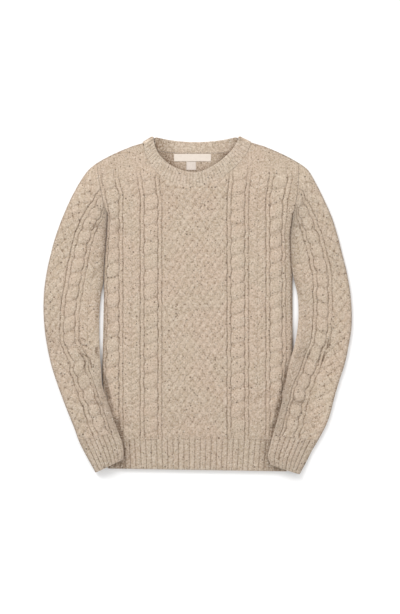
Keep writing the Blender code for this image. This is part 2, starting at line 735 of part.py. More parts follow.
def neckband():
    """The neckband: one ring, folded at the shoulders, with ribs on its upper faces."""
    front_columns = [PATTERN_MIDDLE + side * distance for side, distance, *_ in body_columns()]
    front_seam = neck_seam(front_columns, FRONT_NECK_DOWN,
                           Vector((NECK_MIDDLE, NECK_CORNER_DOWN)), FRONT_SEAM_SCALE)
    back_seam = neck_seam(BACK_COLUMNS, BACK_NECK_DOWN,
                          Vector((NECK_MIDDLE, BACK_SEAM_CENTRE_DOWN)), BACK_SEAM_SCALE)
    front_steps, back_steps = 2 * FRONT_BAND_RIBS, 2 * BACK_BAND_RIBS
    half = BAND_THICKNESS / 2.0
    fold_height = FRONT_UNDER - SEAM_GAP
    sections = []

    def inner_edge(part, is_front):
        if is_front:
            angle = math.pi * part
            side = LEFT if part < 0.5 else RIGHT
            power = 2.0 / (NECK_ROUNDNESS[side] - 0.05)
            across = -math.copysign(abs(math.cos(angle)) ** power, math.cos(angle))
            dip = math.sin(angle) ** power
            return Vector((BAND_INNER_MIDDLE + BAND_INNER_HALF * across,
                           BAND_BASE_DOWN + (BAND_FRONT_DOWN - BAND_BASE_DOWN) * dip))
        away = 2.0 * part - 1.0
        raised = BAND_BACK_CORNER * abs(away) ** 2.5 * smooth((1.0 - abs(away)) / 0.07)
        down = BAND_BASE_DOWN + (BAND_BACK_DOWN - BAND_BASE_DOWN) * (1.0 - away ** 2)
        return Vector((BAND_INNER_MIDDLE + BAND_INNER_HALF * away, down - raised))

    def add_section(inner, outer, angle, bulge, rib, is_front):
        """The ring's outward side turns with the angle: up on the front, down on the back."""
        radius = half + SEAM_GAP
        turn = Vector((bulge.x * math.sin(angle), bulge.y * math.sin(angle)))
        lift = math.cos(angle)
        outward = half - BAND_RIB + BAND_RIB * rib if is_front else half
        inward = half if is_front else half - BAND_RIB + BAND_RIB * rib
        rows = []
        for edge, share in ((inner, -0.3), (inner.lerp(outer, 0.10), 1.0),
                            (inner.lerp(outer, 0.90), 1.0), (outer, 0.75)):
            distance = radius + outward * share
            rows.append((edge + turn * distance, fold_height + lift * distance))
        for edge, share in ((outer, 0.75), (inner.lerp(outer, 0.10), 1.0)):
            distance = radius - inward * share
            rows.append((edge + turn * distance, fold_height + lift * distance))
        sections.append([place(spot.x, spot.y, height) for spot, height in rows])

    def fold(inner, outer, from_front):
        along = (outer - inner).normalized()
        bulge = Vector((along.y, -along.x))
        if bulge.y > 0.0:
            bulge = -bulge
        for step in range(1, BAND_FOLD_STEPS):
            share = step / BAND_FOLD_STEPS
            angle = math.pi * (share if from_front else 1.0 - share)
            add_section(inner, outer, angle, bulge, 0.5, True)

    none = Vector((0.0, 0.0))
    for step in range(front_steps + 1):
        part = step / front_steps
        add_section(inner_edge(part, True), polyline_point(front_seam, part), 0.0, none,
                    step % 2, True)
    fold(inner_edge(1.0, True), front_seam[-1], True)
    for step in range(back_steps + 1):
        part = 1.0 - step / back_steps
        add_section(inner_edge(part, False), polyline_point(back_seam, part), math.pi, none,
                    step % 2, False)
    fold(inner_edge(0.0, True), front_seam[0], False)
    around, along = len(sections[0]), len(sections)
    bm = bmesh.new()
    verts = map_grid(bm, around, along, lambda column, row: sections[row % along][column % around])
    bmesh.ops.remove_doubles(bm, verts=verts, dist=MERGE)
    return keep("neckband", bm, yarn("neckband_yarn", YARN, 0.9))


def label(name, size, where, material):
    """A bare woven label, lying on the inside of the back."""
    height = WALL + SEAM_GAP + size[2] / 2.0
    bpy.ops.mesh.primitive_cube_add(size=1.0, location=place(where[0], where[1], height))
    piece = bpy.context.active_object
    piece.name = name
    piece.data.name = name
    for vert in piece.data.vertices:
        vert.co = Vector((vert.co.x * size[0], vert.co.y * size[1], vert.co.z * size[2]))
    piece.data.materials.append(material)
    for holder in piece.users_collection:
        holder.objects.unlink(piece)
    garment.objects.link(piece)
    return piece


for old in list(bpy.data.objects):
    bpy.data.objects.remove(old, do_unlink=True)
garment = bpy.data.collections.new("fisherman_sweater")
bpy.context.scene.collection.children.link(garment)

front_panel()
back_panel()
hem_rib("hem_rib_front", True)
hem_rib("hem_rib_back", False)
for side_name, side_sign in (("left", LEFT), ("right", RIGHT)):
    above = even_stations(side_sign, 0.0, CUFF_SECTION - CUFF_SEAM_STATIONS, SLEEVE_STEPS)
    below = even_stations(side_sign, CUFF_SECTION + CUFF_SEAM_STATIONS,
                          len(SLEEVES[side_sign]) - 1, CUFF_STEPS)
    sleeve_tube("sleeve_" + side_name, side_sign, sleeve_columns(), above, SLEEVE_INSIDE_STEPS,
                yarn("sleeve_" + side_name + "_yarn", YARN, 0.9))
    sleeve_tube("cuff_" + side_name, side_sign, cuff_columns(), below, CUFF_INSIDE_STEPS,
                yarn("cuff_" + side_name + "_yarn", YARN, 0.9))
neckband()
label("neck_label", LABEL_SIZE, LABEL_PLACE, yarn("label_cloth", LABEL_CREAM, 0.75))
label("size_tab", TAB_SIZE, TAB_PLACE, yarn("tab_cloth", LABEL_CREAM, 0.75))
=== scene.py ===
# %% [markdown]
# # A fisherman sweater, laid flat
#
# A cable-knit pullover in oatmeal tweed wool lies on a table with its front up. The imported model
# already holds every piece at its real size as a plain wall with coarse relief. Here each piece
# gets a finer shell on the same form: real cables, grooves and ribs as geometry, and the single
# stitches, the tweed flecks, the soft sheen of wool and shade painted into grooves and folds as a
# material.

# %% Load the fixed frame
import math

import bmesh
import bpy
import numpy as np
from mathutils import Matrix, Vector


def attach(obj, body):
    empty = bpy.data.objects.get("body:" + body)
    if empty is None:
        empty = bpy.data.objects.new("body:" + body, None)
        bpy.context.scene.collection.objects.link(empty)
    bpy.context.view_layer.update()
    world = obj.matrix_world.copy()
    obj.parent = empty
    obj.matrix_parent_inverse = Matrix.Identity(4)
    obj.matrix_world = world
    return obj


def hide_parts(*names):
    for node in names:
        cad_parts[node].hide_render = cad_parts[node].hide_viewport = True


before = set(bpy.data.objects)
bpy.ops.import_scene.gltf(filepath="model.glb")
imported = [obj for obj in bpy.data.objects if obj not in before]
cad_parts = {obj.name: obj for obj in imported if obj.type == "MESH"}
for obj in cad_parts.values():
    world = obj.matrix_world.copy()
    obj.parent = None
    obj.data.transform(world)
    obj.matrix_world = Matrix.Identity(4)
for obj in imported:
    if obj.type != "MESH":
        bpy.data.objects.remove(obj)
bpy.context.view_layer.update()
print("frame:", sorted(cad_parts))

# %% [markdown]
# ## Sizes
#
# A knitter measures a garment on a table: "across" from the centre line and "down" from the top of
# the neckband. The same two directions are used here, in metres, so that each piece lands on the
# solid that it dresses.

# %% Sizes that the pieces share
WALL = 0.0032
SEAM_GAP = 0.0003
FRONT_UNDER = 0.0056
FRONT_TOP = 0.0088
SIDE_SEAM_HEIGHT = 0.0044
SEAM_LIP = 0.0006
SEAM_BASE = SIDE_SEAM_HEIGHT + SEAM_LIP
FRONT_SEAM_UNDER = SIDE_SEAM_HEIGHT + SEAM_GAP / 2.0
BACK_SEAM_TOP = SIDE_SEAM_HEIGHT - SEAM_GAP / 2.0
FOLD_REACH = 0.007

GARMENT_LENGTH = 0.6775
ARM_MIDDLE = -0.0015
UNDERARM_DOWN = 0.156
SHOULDER_TIP_DOWN = 0.054
RIB_TOP_DOWN = 0.606
HEM_DOWN = 0.667
HEM_TILT = 0.003
YOKE_DOWN = 0.126
ARMHOLE_BOW = 0.004
BODY_HALF = 0.189
SIDE_HELD = 0.160

NECK_MIDDLE = -0.002
NECK_HALF = 0.106
NECK_CORNER_DOWN = 0.017
FRONT_NECK_DOWN = 0.102
BACK_NECK_DOWN = 0.0345
FRONT_ROUNDNESS = (2.0, 1.5)
PATTERN_MIDDLE = -0.0070

BAND_BASE_DOWN = 0.005
BAND_FRONT_DOWN = 0.073
BAND_BACK_DOWN = 0.0125
BAND_INNER_MIDDLE = -0.004
BAND_INNER_HALF = 0.084
YOKE_FLARE, YOKE_FLARE_REACH = 0.062, 0.55

LEFT, RIGHT = -1, 1

# Down, then the half width on the left and on the right
BODY_EDGES = (
    (0.054, 0.2006, 0.2006),
    (0.156, 0.1806, 0.1896),
    (0.200, 0.1826, 0.1838),
    (0.232, 0.1850, 0.1846),
    (0.268, 0.1874, 0.1868),
    (0.300, 0.1880, 0.1868),
    (0.345, 0.1868, 0.1870),
    (0.400, 0.1876, 0.1882),
    (0.464, 0.1914, 0.1890),
    (0.606, 0.1860, 0.1850),
    (0.670, 0.1800, 0.1770),
)
EDGE_DOWN, EDGE_LEFT, EDGE_RIGHT = np.array(BODY_EDGES).T

# Across and down along the shoulder
SHOULDER_LINE = (
    (0.104, 0.0130),
    (0.130, 0.0205),
    (0.150, 0.0285),
    (0.168, 0.0365),
    (0.184, 0.0445),
    (0.2006, 0.0540),
)
SHOULDER_ACROSS, SHOULDER_DOWN = np.array(SHOULDER_LINE).T
print(f"garment: {GARMENT_LENGTH * 1000:.1f} mm long, hem {HEM_DOWN * 1000:.0f} mm down")


# %% Small helpers for curves
def smooth(value):
    """Ease from 0 to 1 as the value goes from 0 to 1."""
    value = np.clip(value, 0.0, 1.0)
    return value * value * (3.0 - 2.0 * value)


def quarter_round(distance, reach):
    """Rise of a rounded fold, 0 at its edge and 1 past its reach."""
    part = np.clip(distance / reach, 0.0, 1.0)
    return np.sqrt(1.0 - (1.0 - part) ** 2)


def place(across, down, height):
    """Points of the garment in the frame, from across, down and height."""
    return np.stack([across - ARM_MIDDLE, GARMENT_LENGTH / 2.0 - down, height], axis=-1)


def fraction(value):
    """The part of a repeat that has passed, from 0 to 1."""
    return value - np.floor(value)


def lobe(part, roundness):
    """A rounded strand across one repeat, with a sharp valley at each end."""
    return np.clip(1.0 - (2.0 * part - 1.0) ** 2, 0.0, 1.0) ** roundness


# %% [markdown]
# ## The knitted relief
#
# Cables are made by crossing groups of stitches, so each strand is a rounded cord that dives under
# its neighbour. That can be sculpted by hand, but a formula repeats it exactly, row after row: a
# strand is a rounded lobe between two valleys, and its valleys run diagonally across the panel.
# Between the panels run narrow gutters of purl stitches: two troughs, painted dark, with a thin
# ridge between.

# %% Each stitch pattern's function: its height and its painted valley shade, both from 0 to 1
LATTICE_WIDE, LATTICE_TALL = 0.0152, 0.0213
LATTICE_START = (-0.0043, 0.0174)
LATTICE_HOLE = 0.0015
LATTICE_VALLEY, CHEVRON_VALLEY = 0.075, 0.090
CABLE_TURN, CABLE_LEAN = 0.0296, 0.13
CABLE_OUTLINE, CABLE_SHADE = 0.17, 0.36
CHEVRON_TURN, CHEVRON_LEAN, CHEVRON_SPINE = 0.0250, 1.15, 0.0011
MOSS_WIDE, MOSS_TALL = 0.0058, 0.0066


def valley(part, width):
    """Painted shade in the valleys at both ends of a repeat."""
    return np.exp(-(np.minimum(part, 1.0 - part) / width) ** 2)


def chance_at(cell, other):
    """A fixed number from 0 to 1 for a crossing, as uneven as hand-knitted stitches."""
    return fraction(np.sin(cell * 12.9898 + other * 78.233) * 43758.5453)


def lattice(across, down):
    """Woven diagonal strands: at each crossing one lies over the other, with a hole beside it."""
    across, down = across - LATTICE_START[0], down - LATTICE_START[1]
    rising = across / LATTICE_WIDE + down / LATTICE_TALL
    falling = across / LATTICE_WIDE - down / LATTICE_TALL
    over = (np.floor(rising) + np.floor(falling)) % 2 < 0.5
    along = np.where(over, fraction(rising), fraction(falling))
    over_strand = np.where(over, fraction(falling), fraction(rising))
    height = lobe(over_strand, 0.55) * (0.62 + 0.38 * np.sin(np.pi * along))
    off_rising, off_falling = rising - np.rint(rising), falling - np.rint(falling)
    off = np.hypot((off_rising + off_falling) * LATTICE_WIDE / 2.0,
                   (off_rising - off_falling) * LATTICE_TALL / 2.0)
    cell, other = np.rint(rising), np.rint(falling)
    chance = chance_at(cell, other)
    hole = np.exp(-(off / LATTICE_HOLE) ** 2) * np.where((cell + other) % 2 < 0.5, 1.0, 0.5)
    hole = hole * (0.45 + 0.55 * chance)
    # Painted shade along the valleys and, darker, in the holes beside the crossings.
    dark = np.maximum((0.12 + 0.36 * chance) * valley(over_strand, LATTICE_VALLEY), 1.45 * hole)
    return height * (1.0 - 0.6 * hole), dark


def cable(across, down, half_width):
    """A rope: a chain of leaning oval lobes, one for each crossing."""
    side = np.clip(across / half_width, -1.0, 1.0)
    twist = fraction(down / CABLE_TURN + CABLE_LEAN * side)
    body = np.clip(1.0 - np.abs(side) ** 3.0, 0.0, 1.0) ** 0.5
    inside = 1.0 - ((2.0 * twist - 1.0) / (1.0 - 0.26 * side ** 2)) ** 2
    # Painted shade round the outline of each lobe.
    outline = np.exp(-(inside / CABLE_OUTLINE) ** 2) * (0.70 + 0.30 * side ** 2)
    return body * (0.25 + 0.75 * np.clip(inside, 0.0, 1.0) ** 0.45), CABLE_SHADE * outline


def chevron(across, down, half_width):
    """Two mirrored ropes whose strands meet in a V that points down."""
    side = np.clip(np.abs(across) / half_width, 0.0, 1.0)
    strand = fraction(down / CHEVRON_TURN * 2.0 + CHEVRON_LEAN * side)
    body = np.clip(1.0 - side ** 4, 0.0, 1.0) ** 0.6
    spine = np.exp(-(across / CHEVRON_SPINE) ** 2)
    height = body * (1.0 - 0.35 * spine) * (0.35 + 0.65 * lobe(strand, 0.5))
    # Painted shade in the valleys and along the spine.
    return height, np.maximum(0.34 * valley(strand, CHEVRON_VALLEY), 0.26 * spine) * body


def moss(across, down):
    """Small bumps in a chequer."""
    wave = np.cos(2.0 * np.pi * across / MOSS_WIDE) * np.cos(2.0 * np.pi * down / MOSS_TALL)
    height = 0.5 + 0.5 * np.tanh(2.2 * wave)
    # Painted shade between the bumps.
    return height, 0.35 * (1.0 - height)


# %% The gutters between the panels
GUTTER_LINE, GUTTER_LINE_WIDTH = 0.0042, 0.00088
GUTTER_HALF, GUTTER_EDGE = 0.0056, 0.0010
GUTTER_DEPTH = 0.0020
GUTTER_RIDGE, GUTTER_RIDGE_WIDTH = 0.0007, 0.0021


def gutter(across, unevenness):
    """Height and painted shade of a gutter: a rounded ridge between two troughs painted dark."""
    near = np.abs(across)
    line = np.exp(-((near - GUTTER_LINE) / GUTTER_LINE_WIDTH) ** 2)
    inside = smooth((GUTTER_HALF - near) / GUTTER_EDGE)
    ridge = GUTTER_RIDGE * np.exp(-(across / GUTTER_RIDGE_WIDTH) ** 2)
    return (ridge - GUTTER_DEPTH * line) * inside, line * inside * unevenness


# %% [markdown]
# ## How the panels are set out
#
# From the middle of the front outward come a wide lattice, a gutter, a rope cable, a gutter, a
# chevron panel, a gutter, a second rope and a last gutter close to the side. The gutters bulge
# round each lobe of the cables, because the knitting is drawn in where the strands cross.

# %% Heights over the body
LATTICE_RAISED = 0.0028
CABLE_RAISED = 0.0034
CHEVRON_RAISED = 0.0026
MOSS_RAISED = 0.0012
GUTTERS = (0.0690, 0.1042, 0.1466, 0.1793)
PANEL_GAP = 0.0040
SIDE_MOSS = (0.1935, 0.0100)
CABLE_PULL, CABLE_PULL_REACH, CABLE_PULL_START = 0.0025, 0.017, 0.008
OUTER_ROPE_START = 0.405
PATTERN_START, PATTERN_REACH = 0.063, 0.027


def panel_between(first, second):
    """Middle and half width of the panel between two gutters."""
    return (first + second) / 2.0, (second - first) / 2.0 - PANEL_GAP


def uneven(across, down, seed):
    """How strongly a line's painted shade shows: slow waves fade it and quick ones break it up."""
    slow = np.sin(down * 147.0 + seed * 2.1) * np.sin(down * 61.0 + across * 40.0 + seed)
    quick = np.sin(down * 613.0 + across * 350.0 + seed * 3.3) * np.sin(down * 271.0 + seed)
    return np.clip(0.74 + 0.32 * slow + 0.38 * quick, 0.12, 1.15)


def bulge(down, start):
    """How a cable's edge swings out round each lobe and in at each crossing."""
    return 1.6 * np.abs(np.sin(np.pi * (down / CABLE_TURN + start))) ** 0.8 - 1.0


def body_knit(across, down):
    """Relief and painted shade over the body, from the middle of the pattern."""
    side = np.sign(across)
    distance = np.abs(across)
    inner_rope, outer_rope = panel_between(*GUTTERS[0:2]), panel_between(*GUTTERS[2:4])
    for middle, start in ((inner_rope[0], 0.0), (outer_rope[0], OUTER_ROPE_START)):
        off = distance - middle
        pull = CABLE_PULL * np.exp(-(off / CABLE_PULL_REACH) ** 2)
        pull = pull * np.clip(off / CABLE_PULL_START, -1.0, 1.0)
        distance = distance - pull * bulge(down, start + CABLE_LEAN * np.sign(off) * side)
    distance = distance + 0.0005 * np.sin(down * 97.0 + distance * 30.0 + 2.0 * side)
    distance = distance + 0.0003 * np.sin(down * 241.0 - distance * 55.0 + side)
    raised, dark = np.zeros_like(distance), np.zeros_like(distance)
    middle_lattice, v_panel = (0.0, GUTTERS[0] - PANEL_GAP), panel_between(*GUTTERS[1:3])
    outer_down = down + OUTER_ROPE_START * CABLE_TURN
    panels = (
        (middle_lattice, LATTICE_RAISED, lattice(across, down)),
        (inner_rope, CABLE_RAISED, cable(side * (distance - inner_rope[0]), down, inner_rope[1])),
        (v_panel, CHEVRON_RAISED, chevron(distance - v_panel[0], down, v_panel[1])),
        (outer_rope, CABLE_RAISED,
         cable(side * (distance - outer_rope[0]), outer_down, outer_rope[1])),
        (SIDE_MOSS, MOSS_RAISED, moss(across, down)),
    )
    for (middle, half), height, (rise, shade) in panels:
        inside = np.abs(distance - middle) < half
        raised = np.where(inside, height * rise, raised)
        dark = np.where(inside, shade, dark)
    for number, middle in enumerate(GUTTERS):
        rise, shade = gutter(distance - middle, uneven(across, down, number + side * 4.0))
        raised, dark = raised + rise, np.maximum(dark, shade)
    fade = smooth((down - PATTERN_START) / PATTERN_REACH)
    return raised * (0.35 + 0.65 * fade), dark * (0.12 + 0.88 * fade)


# %% The same patterns set out over a sleeve
SLEEVE_CABLE_HALF = 0.0112
SLEEVE_GUTTER = 0.0150
SLEEVE_CHEVRON_OUT, SLEEVE_CHEVRON_HALF = 0.0195, 0.0155


def sleeve_knit(across, along):
    """Relief and painted shade over a sleeve, from its cable in the middle."""
    side = np.sign(across)
    pull = CABLE_PULL * np.exp(-(across / CABLE_PULL_REACH) ** 2)
    distance = np.abs(across) - pull * bulge(along, CABLE_LEAN * side)
    distance = distance + 0.0005 * np.sin(along * 103.0 + side) + 0.0003 * np.sin(along * 229.0)
    rope, rope_dark = cable(side * distance, along, SLEEVE_CABLE_HALF)
    in_rope = distance < SLEEVE_CABLE_HALF
    raised, dark = np.where(in_rope, CABLE_RAISED * rope, 0.0), np.where(in_rope, rope_dark, 0.0)
    outside = distance > SLEEVE_GUTTER + PANEL_GAP
    rise, shade = lattice(across, along)
    raised = np.where(outside & (side < 0.0), LATTICE_RAISED * rise, raised)
    dark = np.where(outside & (side < 0.0), shade, dark)
    off = distance - SLEEVE_GUTTER - SLEEVE_CHEVRON_OUT
    rise, shade = chevron(off, along, SLEEVE_CHEVRON_HALF)
    raised = np.where(outside & (side >= 0.0), CHEVRON_RAISED * rise, raised)
    dark = np.where(outside & (side >= 0.0), shade, dark)
    rise, shade = gutter(distance - SLEEVE_GUTTER, uneven(across, along, 5.0 + side))
    return raised + rise, np.maximum(dark, shade)


# %% [markdown]
# ## From a grid to a knitted wall
#
# Every piece of cloth here starts as one flat grid from `bmesh.ops.create_grid`. Its rows go up
# the outer face in fine steps and come back down the inner face in coarse ones, and the last row
# is merged with the first, so the cloth is a closed wall and not a sheet of paper. The two open
# sides are filled, or, on a tube, merged as well. Each grid point keeps a UV in metres that
# follows the rows of stitches, and a number for the shade painted on it: in grooves and folds, on
# edges that turn down and where one part shades another.

# %% The wall builder
MERGE = 0.000001
EDGE_HOLD = 0.00025


def to_piece(bm, name):
    """Turn a finished bmesh into an object at the origin, and say how large it is."""
    mesh = bpy.data.meshes.new(name)
    bm.to_mesh(mesh)
    bm.free()
    mesh.shade_smooth()
    piece = bpy.data.objects.new(name, mesh)
    bpy.context.scene.collection.objects.link(piece)
    area = sum(polygon.area for polygon in mesh.polygons)
    triangles = sum(len(polygon.vertices) - 2 for polygon in mesh.polygons)
    print(f"{name}: {triangles} triangles, one side {area / 2.0:.4f} m2")
    return piece


def knitted_wall(name, columns, rows, surface, tube):
    """Build a closed wall from surface(column, row), which gives points, UVs and painted shade."""
    bm = bmesh.new()
    bmesh.ops.create_grid(bm, x_segments=columns, y_segments=rows, size=0.5)
    flat = np.array([vert.co[:2] for vert in bm.verts])
    column = np.rint((flat[:, 0] + 0.5) * columns).astype(int)
    row = np.rint((flat[:, 1] + 0.5) * rows).astype(int)
    points, stitches, painted_darkness = surface(column, row % rows)
    # The painted shade of each point, which the material reads.
    groove = bm.verts.layers.float.new("groove")
    for vert, point, shade_here in zip(bm.verts, points.tolist(), painted_darkness.tolist()):
        vert.co = point
        vert[groove] = shade_here
    stitches = stitches.tolist()
    knit = bm.loops.layers.uv.new("knit")
    bm.verts.index_update()
    for face in bm.faces:
        for loop in face.loops:
            loop[knit].uv = stitches[loop.vert.index]
    bmesh.ops.remove_doubles(bm, verts=bm.verts[:], dist=MERGE)
    if not tube:
        open_edges = [edge for edge in bm.edges if edge.is_boundary]
        filled = bmesh.ops.holes_fill(bm, edges=open_edges, sides=0)
        bmesh.ops.triangulate(bm, faces=filled["faces"])
    bmesh.ops.recalc_face_normals(bm, faces=bm.faces[:])
    return to_piece(bm, name)


def dress(piece, node, material):
    """A piece rides on the one body, stands for its node and takes a material."""
    piece.data.materials.append(material)
    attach(piece, "root")
    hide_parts(node)


# %% [markdown]
# ## The outline of the body
#
# The body is narrowest at the underarm and slopes from the neck to the shoulder tip. Both panels
# share one outline, so it is one set of functions: the side edge, the shoulder line and the neck.

# %% Outline functions
def armhole_bow(part):
    """How far the armhole seam bows outward, at a part of its length."""
    return np.where((part > 0.0) & (part < 1.0), ARMHOLE_BOW * 4.0 * part * (1.0 - part), 0.0)


def body_edge(on_left, down):
    """Half width of the body on one side."""
    part = (down - SHOULDER_TIP_DOWN) / (UNDERARM_DOWN - SHOULDER_TIP_DOWN)
    left = np.interp(down, EDGE_DOWN, EDGE_LEFT)
    right = np.interp(down, EDGE_DOWN, EDGE_RIGHT)
    return np.where(on_left, left, right) + armhole_bow(part)


def neck_depth(across, is_front):
    """Down to the neck seam."""
    away = (across - NECK_MIDDLE) / NECK_HALF
    if is_front:
        power = np.where(away < 0.0, *FRONT_ROUNDNESS)
        dip = np.clip(1.0 - np.abs(away) ** power, 0.0, 1.0) ** (1.0 / power)
        return NECK_CORNER_DOWN + (FRONT_NECK_DOWN - NECK_CORNER_DOWN) * dip
    dip = np.clip(1.0 - np.abs(away) ** 4, 0.0, 1.0)
    return NECK_CORNER_DOWN + (BACK_NECK_DOWN - NECK_CORNER_DOWN) * dip


def panel_top(across, is_front):
    """Down to the upper edge of a body panel: its neck, or its shoulder."""
    shoulder = np.interp(np.abs(across), SHOULDER_ACROSS, SHOULDER_DOWN)
    in_neck = np.abs(across - NECK_MIDDLE) <= NECK_HALF
    return np.where(in_neck, neck_depth(across, is_front), shoulder)


def body_spot(straight_across, straight_down, part, is_front):
    """Where a grid point of a body panel lies, with its room to the side and the shoulder."""
    share = (np.abs(straight_across) - SIDE_HELD) / (BODY_HALF - SIDE_HELD)
    at_side = share > 0.0
    tip = SHOULDER_ACROSS[-1]
    held = SIDE_HELD * (1.0 + YOKE_FLARE)
    side_top = np.interp(held + share * (tip - held), SHOULDER_ACROSS, SHOULDER_DOWN)
    top = np.where(at_side, side_top, panel_top(straight_across * (1.0 + YOKE_FLARE), is_front))
    down = straight_down * (1.0 - part) + top * part
    edge = body_edge(straight_across < 0.0, down)
    flare = 1.0 + YOKE_FLARE * smooth(part / YOKE_FLARE_REACH)
    held = SIDE_HELD * flare
    warped = np.sign(straight_across) * (held + share * (edge - held))
    across = np.where(at_side, warped, straight_across * flare)
    side_room = np.maximum(edge - np.abs(across), 0.0)
    side_room = side_room + FOLD_REACH * smooth((UNDERARM_DOWN - down) / 0.012)
    in_neck = np.abs(across - NECK_MIDDLE) < NECK_HALF
    top_room = np.where(in_neck, FOLD_REACH, down - top)
    return across, down, side_room, top_room, down - top


# %% Columns and rows of the body's grids
SIDE_FOLD = np.array([0.0, 0.0004, 0.0012, 0.0024, 0.0040])
SIDE_FOLD_ENDS = (0.0055, 0.0050)
GUTTER_ROOM = 0.0010


def body_columns(step, gutter_step):
    """Straight positions across the body, closer together in the gutters and at the folds."""
    middles = [PATTERN_MIDDLE + side * middle for side in (LEFT, RIGHT) for middle in GUTTERS]
    inside = -BODY_HALF + SIDE_FOLD_ENDS[0]
    line = []
    while inside < BODY_HALF - SIDE_FOLD_ENDS[1]:
        line.append(inside)
        in_gutter = min(abs(inside - middle) for middle in middles) < GUTTER_HALF + GUTTER_ROOM
        inside += gutter_step if in_gutter else step
    return np.concatenate([-BODY_HALF + SIDE_FOLD, line, BODY_HALF - SIDE_FOLD[::-1]])


def body_rows(step, yoke_steps, inner_yoke_steps, inner_steps):
    """Rows up the outer face, then back down the inner face: down, part of the yoke, outer."""
    lowest = RIB_TOP_DOWN - SEAM_GAP
    below = np.linspace(lowest, YOKE_DOWN, round((lowest - YOKE_DOWN) / step) + 1)
    below = np.insert(below, 1, lowest - EDGE_HOLD)
    yoke = np.insert(np.arange(1, yoke_steps + 1) / yoke_steps, -1, 1.0 - EDGE_HOLD / YOKE_DOWN)
    down = np.concatenate([below, np.full(len(yoke), YOKE_DOWN)])
    part = np.concatenate([np.zeros(len(below)), yoke])
    inner_down = np.concatenate([np.full(inner_yoke_steps, YOKE_DOWN),
                                 np.linspace(YOKE_DOWN, lowest, inner_steps)])
    inner_part = np.concatenate([np.linspace(1.0, 0.0, inner_yoke_steps, endpoint=False),
                                 np.zeros(inner_steps)])
    outer = np.concatenate([np.ones(len(down), bool), np.zeros(len(inner_down), bool)])
    return np.concatenate([down, inner_down]), np.concatenate([part, inner_part]), outer


# %% [markdown]
# ## Lying on a table
#
# A sweater that was patted flat is never quite flat: the cloth keeps shallow swells a hand's width
# across, and the weight of the sleeves pulls a few soft folds out from the underarms. They are
# placed as low ridges and troughs, each with its own length, depth and width.

# %% Soft swells and folds of the body
# Start across and down, end across and down, height (a trough is negative) and half width
BODY_FOLDS = (
    (-0.176, 0.170, -0.128, 0.205, -0.0007, 0.012),
    (-0.178, 0.196, -0.140, 0.250, 0.0008, 0.011),
    (0.178, 0.172, 0.135, 0.210, -0.0006, 0.012),
    (0.176, 0.205, 0.145, 0.262, 0.0008, 0.012),
    (-0.190, 0.470, -0.168, 0.560, -0.0018, 0.0050),
    (-0.168, 0.560, -0.149, 0.610, -0.0022, 0.0062),
    (0.180, 0.452, 0.168, 0.510, -0.0016, 0.0046),
    (0.167, 0.515, 0.146, 0.610, -0.0024, 0.0062),
    (-0.150, 0.452, -0.060, 0.470, 0.0007, 0.016),
    (0.165, 0.505, 0.080, 0.535, -0.0007, 0.015),
    (-0.172, 0.560, -0.120, 0.585, -0.0008, 0.010),
    (-0.060, 0.128, 0.050, 0.132, -0.0005, 0.014),
    (-0.180, 0.330, -0.172, 0.420, -0.0006, 0.009),
)


def fold_height(folds, across, down):
    """Sum of soft ridges and troughs along hand-placed lines."""
    total = np.zeros_like(across)
    for start_across, start_down, end_across, end_down, height, half_width in folds:
        run = np.array([end_across - start_across, end_down - start_down])
        length = run @ run
        part = ((across - start_across) * run[0] + (down - start_down) * run[1]) / length
        near = np.clip(part, 0.0, 1.0)
        off = np.hypot(across - start_across - near * run[0], down - start_down - near * run[1])
        ends = smooth(1.0 - np.abs(2.0 * near - 1.0) ** 3)
        total = total + height * np.exp(-(off / half_width) ** 2) * (0.25 + 0.75 * ends)
    return total


def swell(across, down):
    """The slow unevenness of cloth that was patted flat."""
    wide = np.sin(across * 23.0 + 1.3) * np.sin(down * 17.0 + 0.4)
    narrow = np.sin(across * 51.0 - down * 19.0) * np.sin(down * 37.0 + across * 11.0 + 2.0)
    return 0.0005 * wide + 0.0003 * narrow


# %% Relief and painted shade that several pieces share
PRESSED_DEPTH = 0.0012
RIM_SHADE, RIM_REACH = 0.85, 0.0030
FOLD_DEEP = 0.0012
RIB_END_REACH = 0.004


def inner_face(seam, level, room):
    """Height of a panel's inner face, from its seam to its own level past the fold."""
    return seam + (level - seam) * np.clip(room / FOLD_REACH, 0.0, 1.0)


def pressed_relief(raised):
    """What stays open over the table where raised strands are pressed to one flat level."""
    return PRESSED_DEPTH * np.clip(1.0 - raised / PRESSED_DEPTH, 0.0, 1.0) ** 1.5


def rim_shade(room):
    """Painted shade on an edge that turns down, from the room that is left to it."""
    return RIM_SHADE * np.exp(-(room / RIM_REACH) ** 2)


def fold_shade(folds, most, spared):
    """Painted shade in the troughs that are deeper than a spared amount."""
    return most * np.clip((-folds - spared) / FOLD_DEEP, 0.0, 1.0)


def rib_wave(part, ribs):
    """Height of rounded ribs over a width, 0 in the valleys, and the shade painted in them."""
    wave = np.abs(np.sin(np.pi * part * ribs))
    return wave ** 0.62, np.clip(1.0 - wave * 2.6, 0.0, 1.0)


def rib_ends(from_end):
    """How far ribs stand up, a little less at both of their ends."""
    return 0.70 + 0.30 * smooth(from_end / RIB_END_REACH)


# %% [markdown]
# ## Front and back
#
# The front carries the full relief. The back is the same knitting the other way up: it lies on
# the table, so its raised strands are pressed to one flat level and only the grooves between
# them stay open.

# %% Front panel
NECK_EDGE_RISE, NECK_EDGE_REACH = 0.0008, 0.008
FRONT_FOLD_SHADE = (0.85, 0.0004)
# Painted shade, darker at the top of the yoke and over the lower body
YOKE_AND_LOW_SHADE, YOKE_SHADE_ABOVE, LOW_SHADE_BELOW = 0.07, 0.075, 0.515
ARM_VALLEY_SHADE, ARM_VALLEY_REACH = 0.80, 0.0075
ARM_VALLEY_START, ARM_VALLEY_END = 0.165, 0.320
HEM_RIBS, HEM_MARGIN = 33, 0.012
STARTED_SHADE, STARTED_REACH = 0.62, 0.013


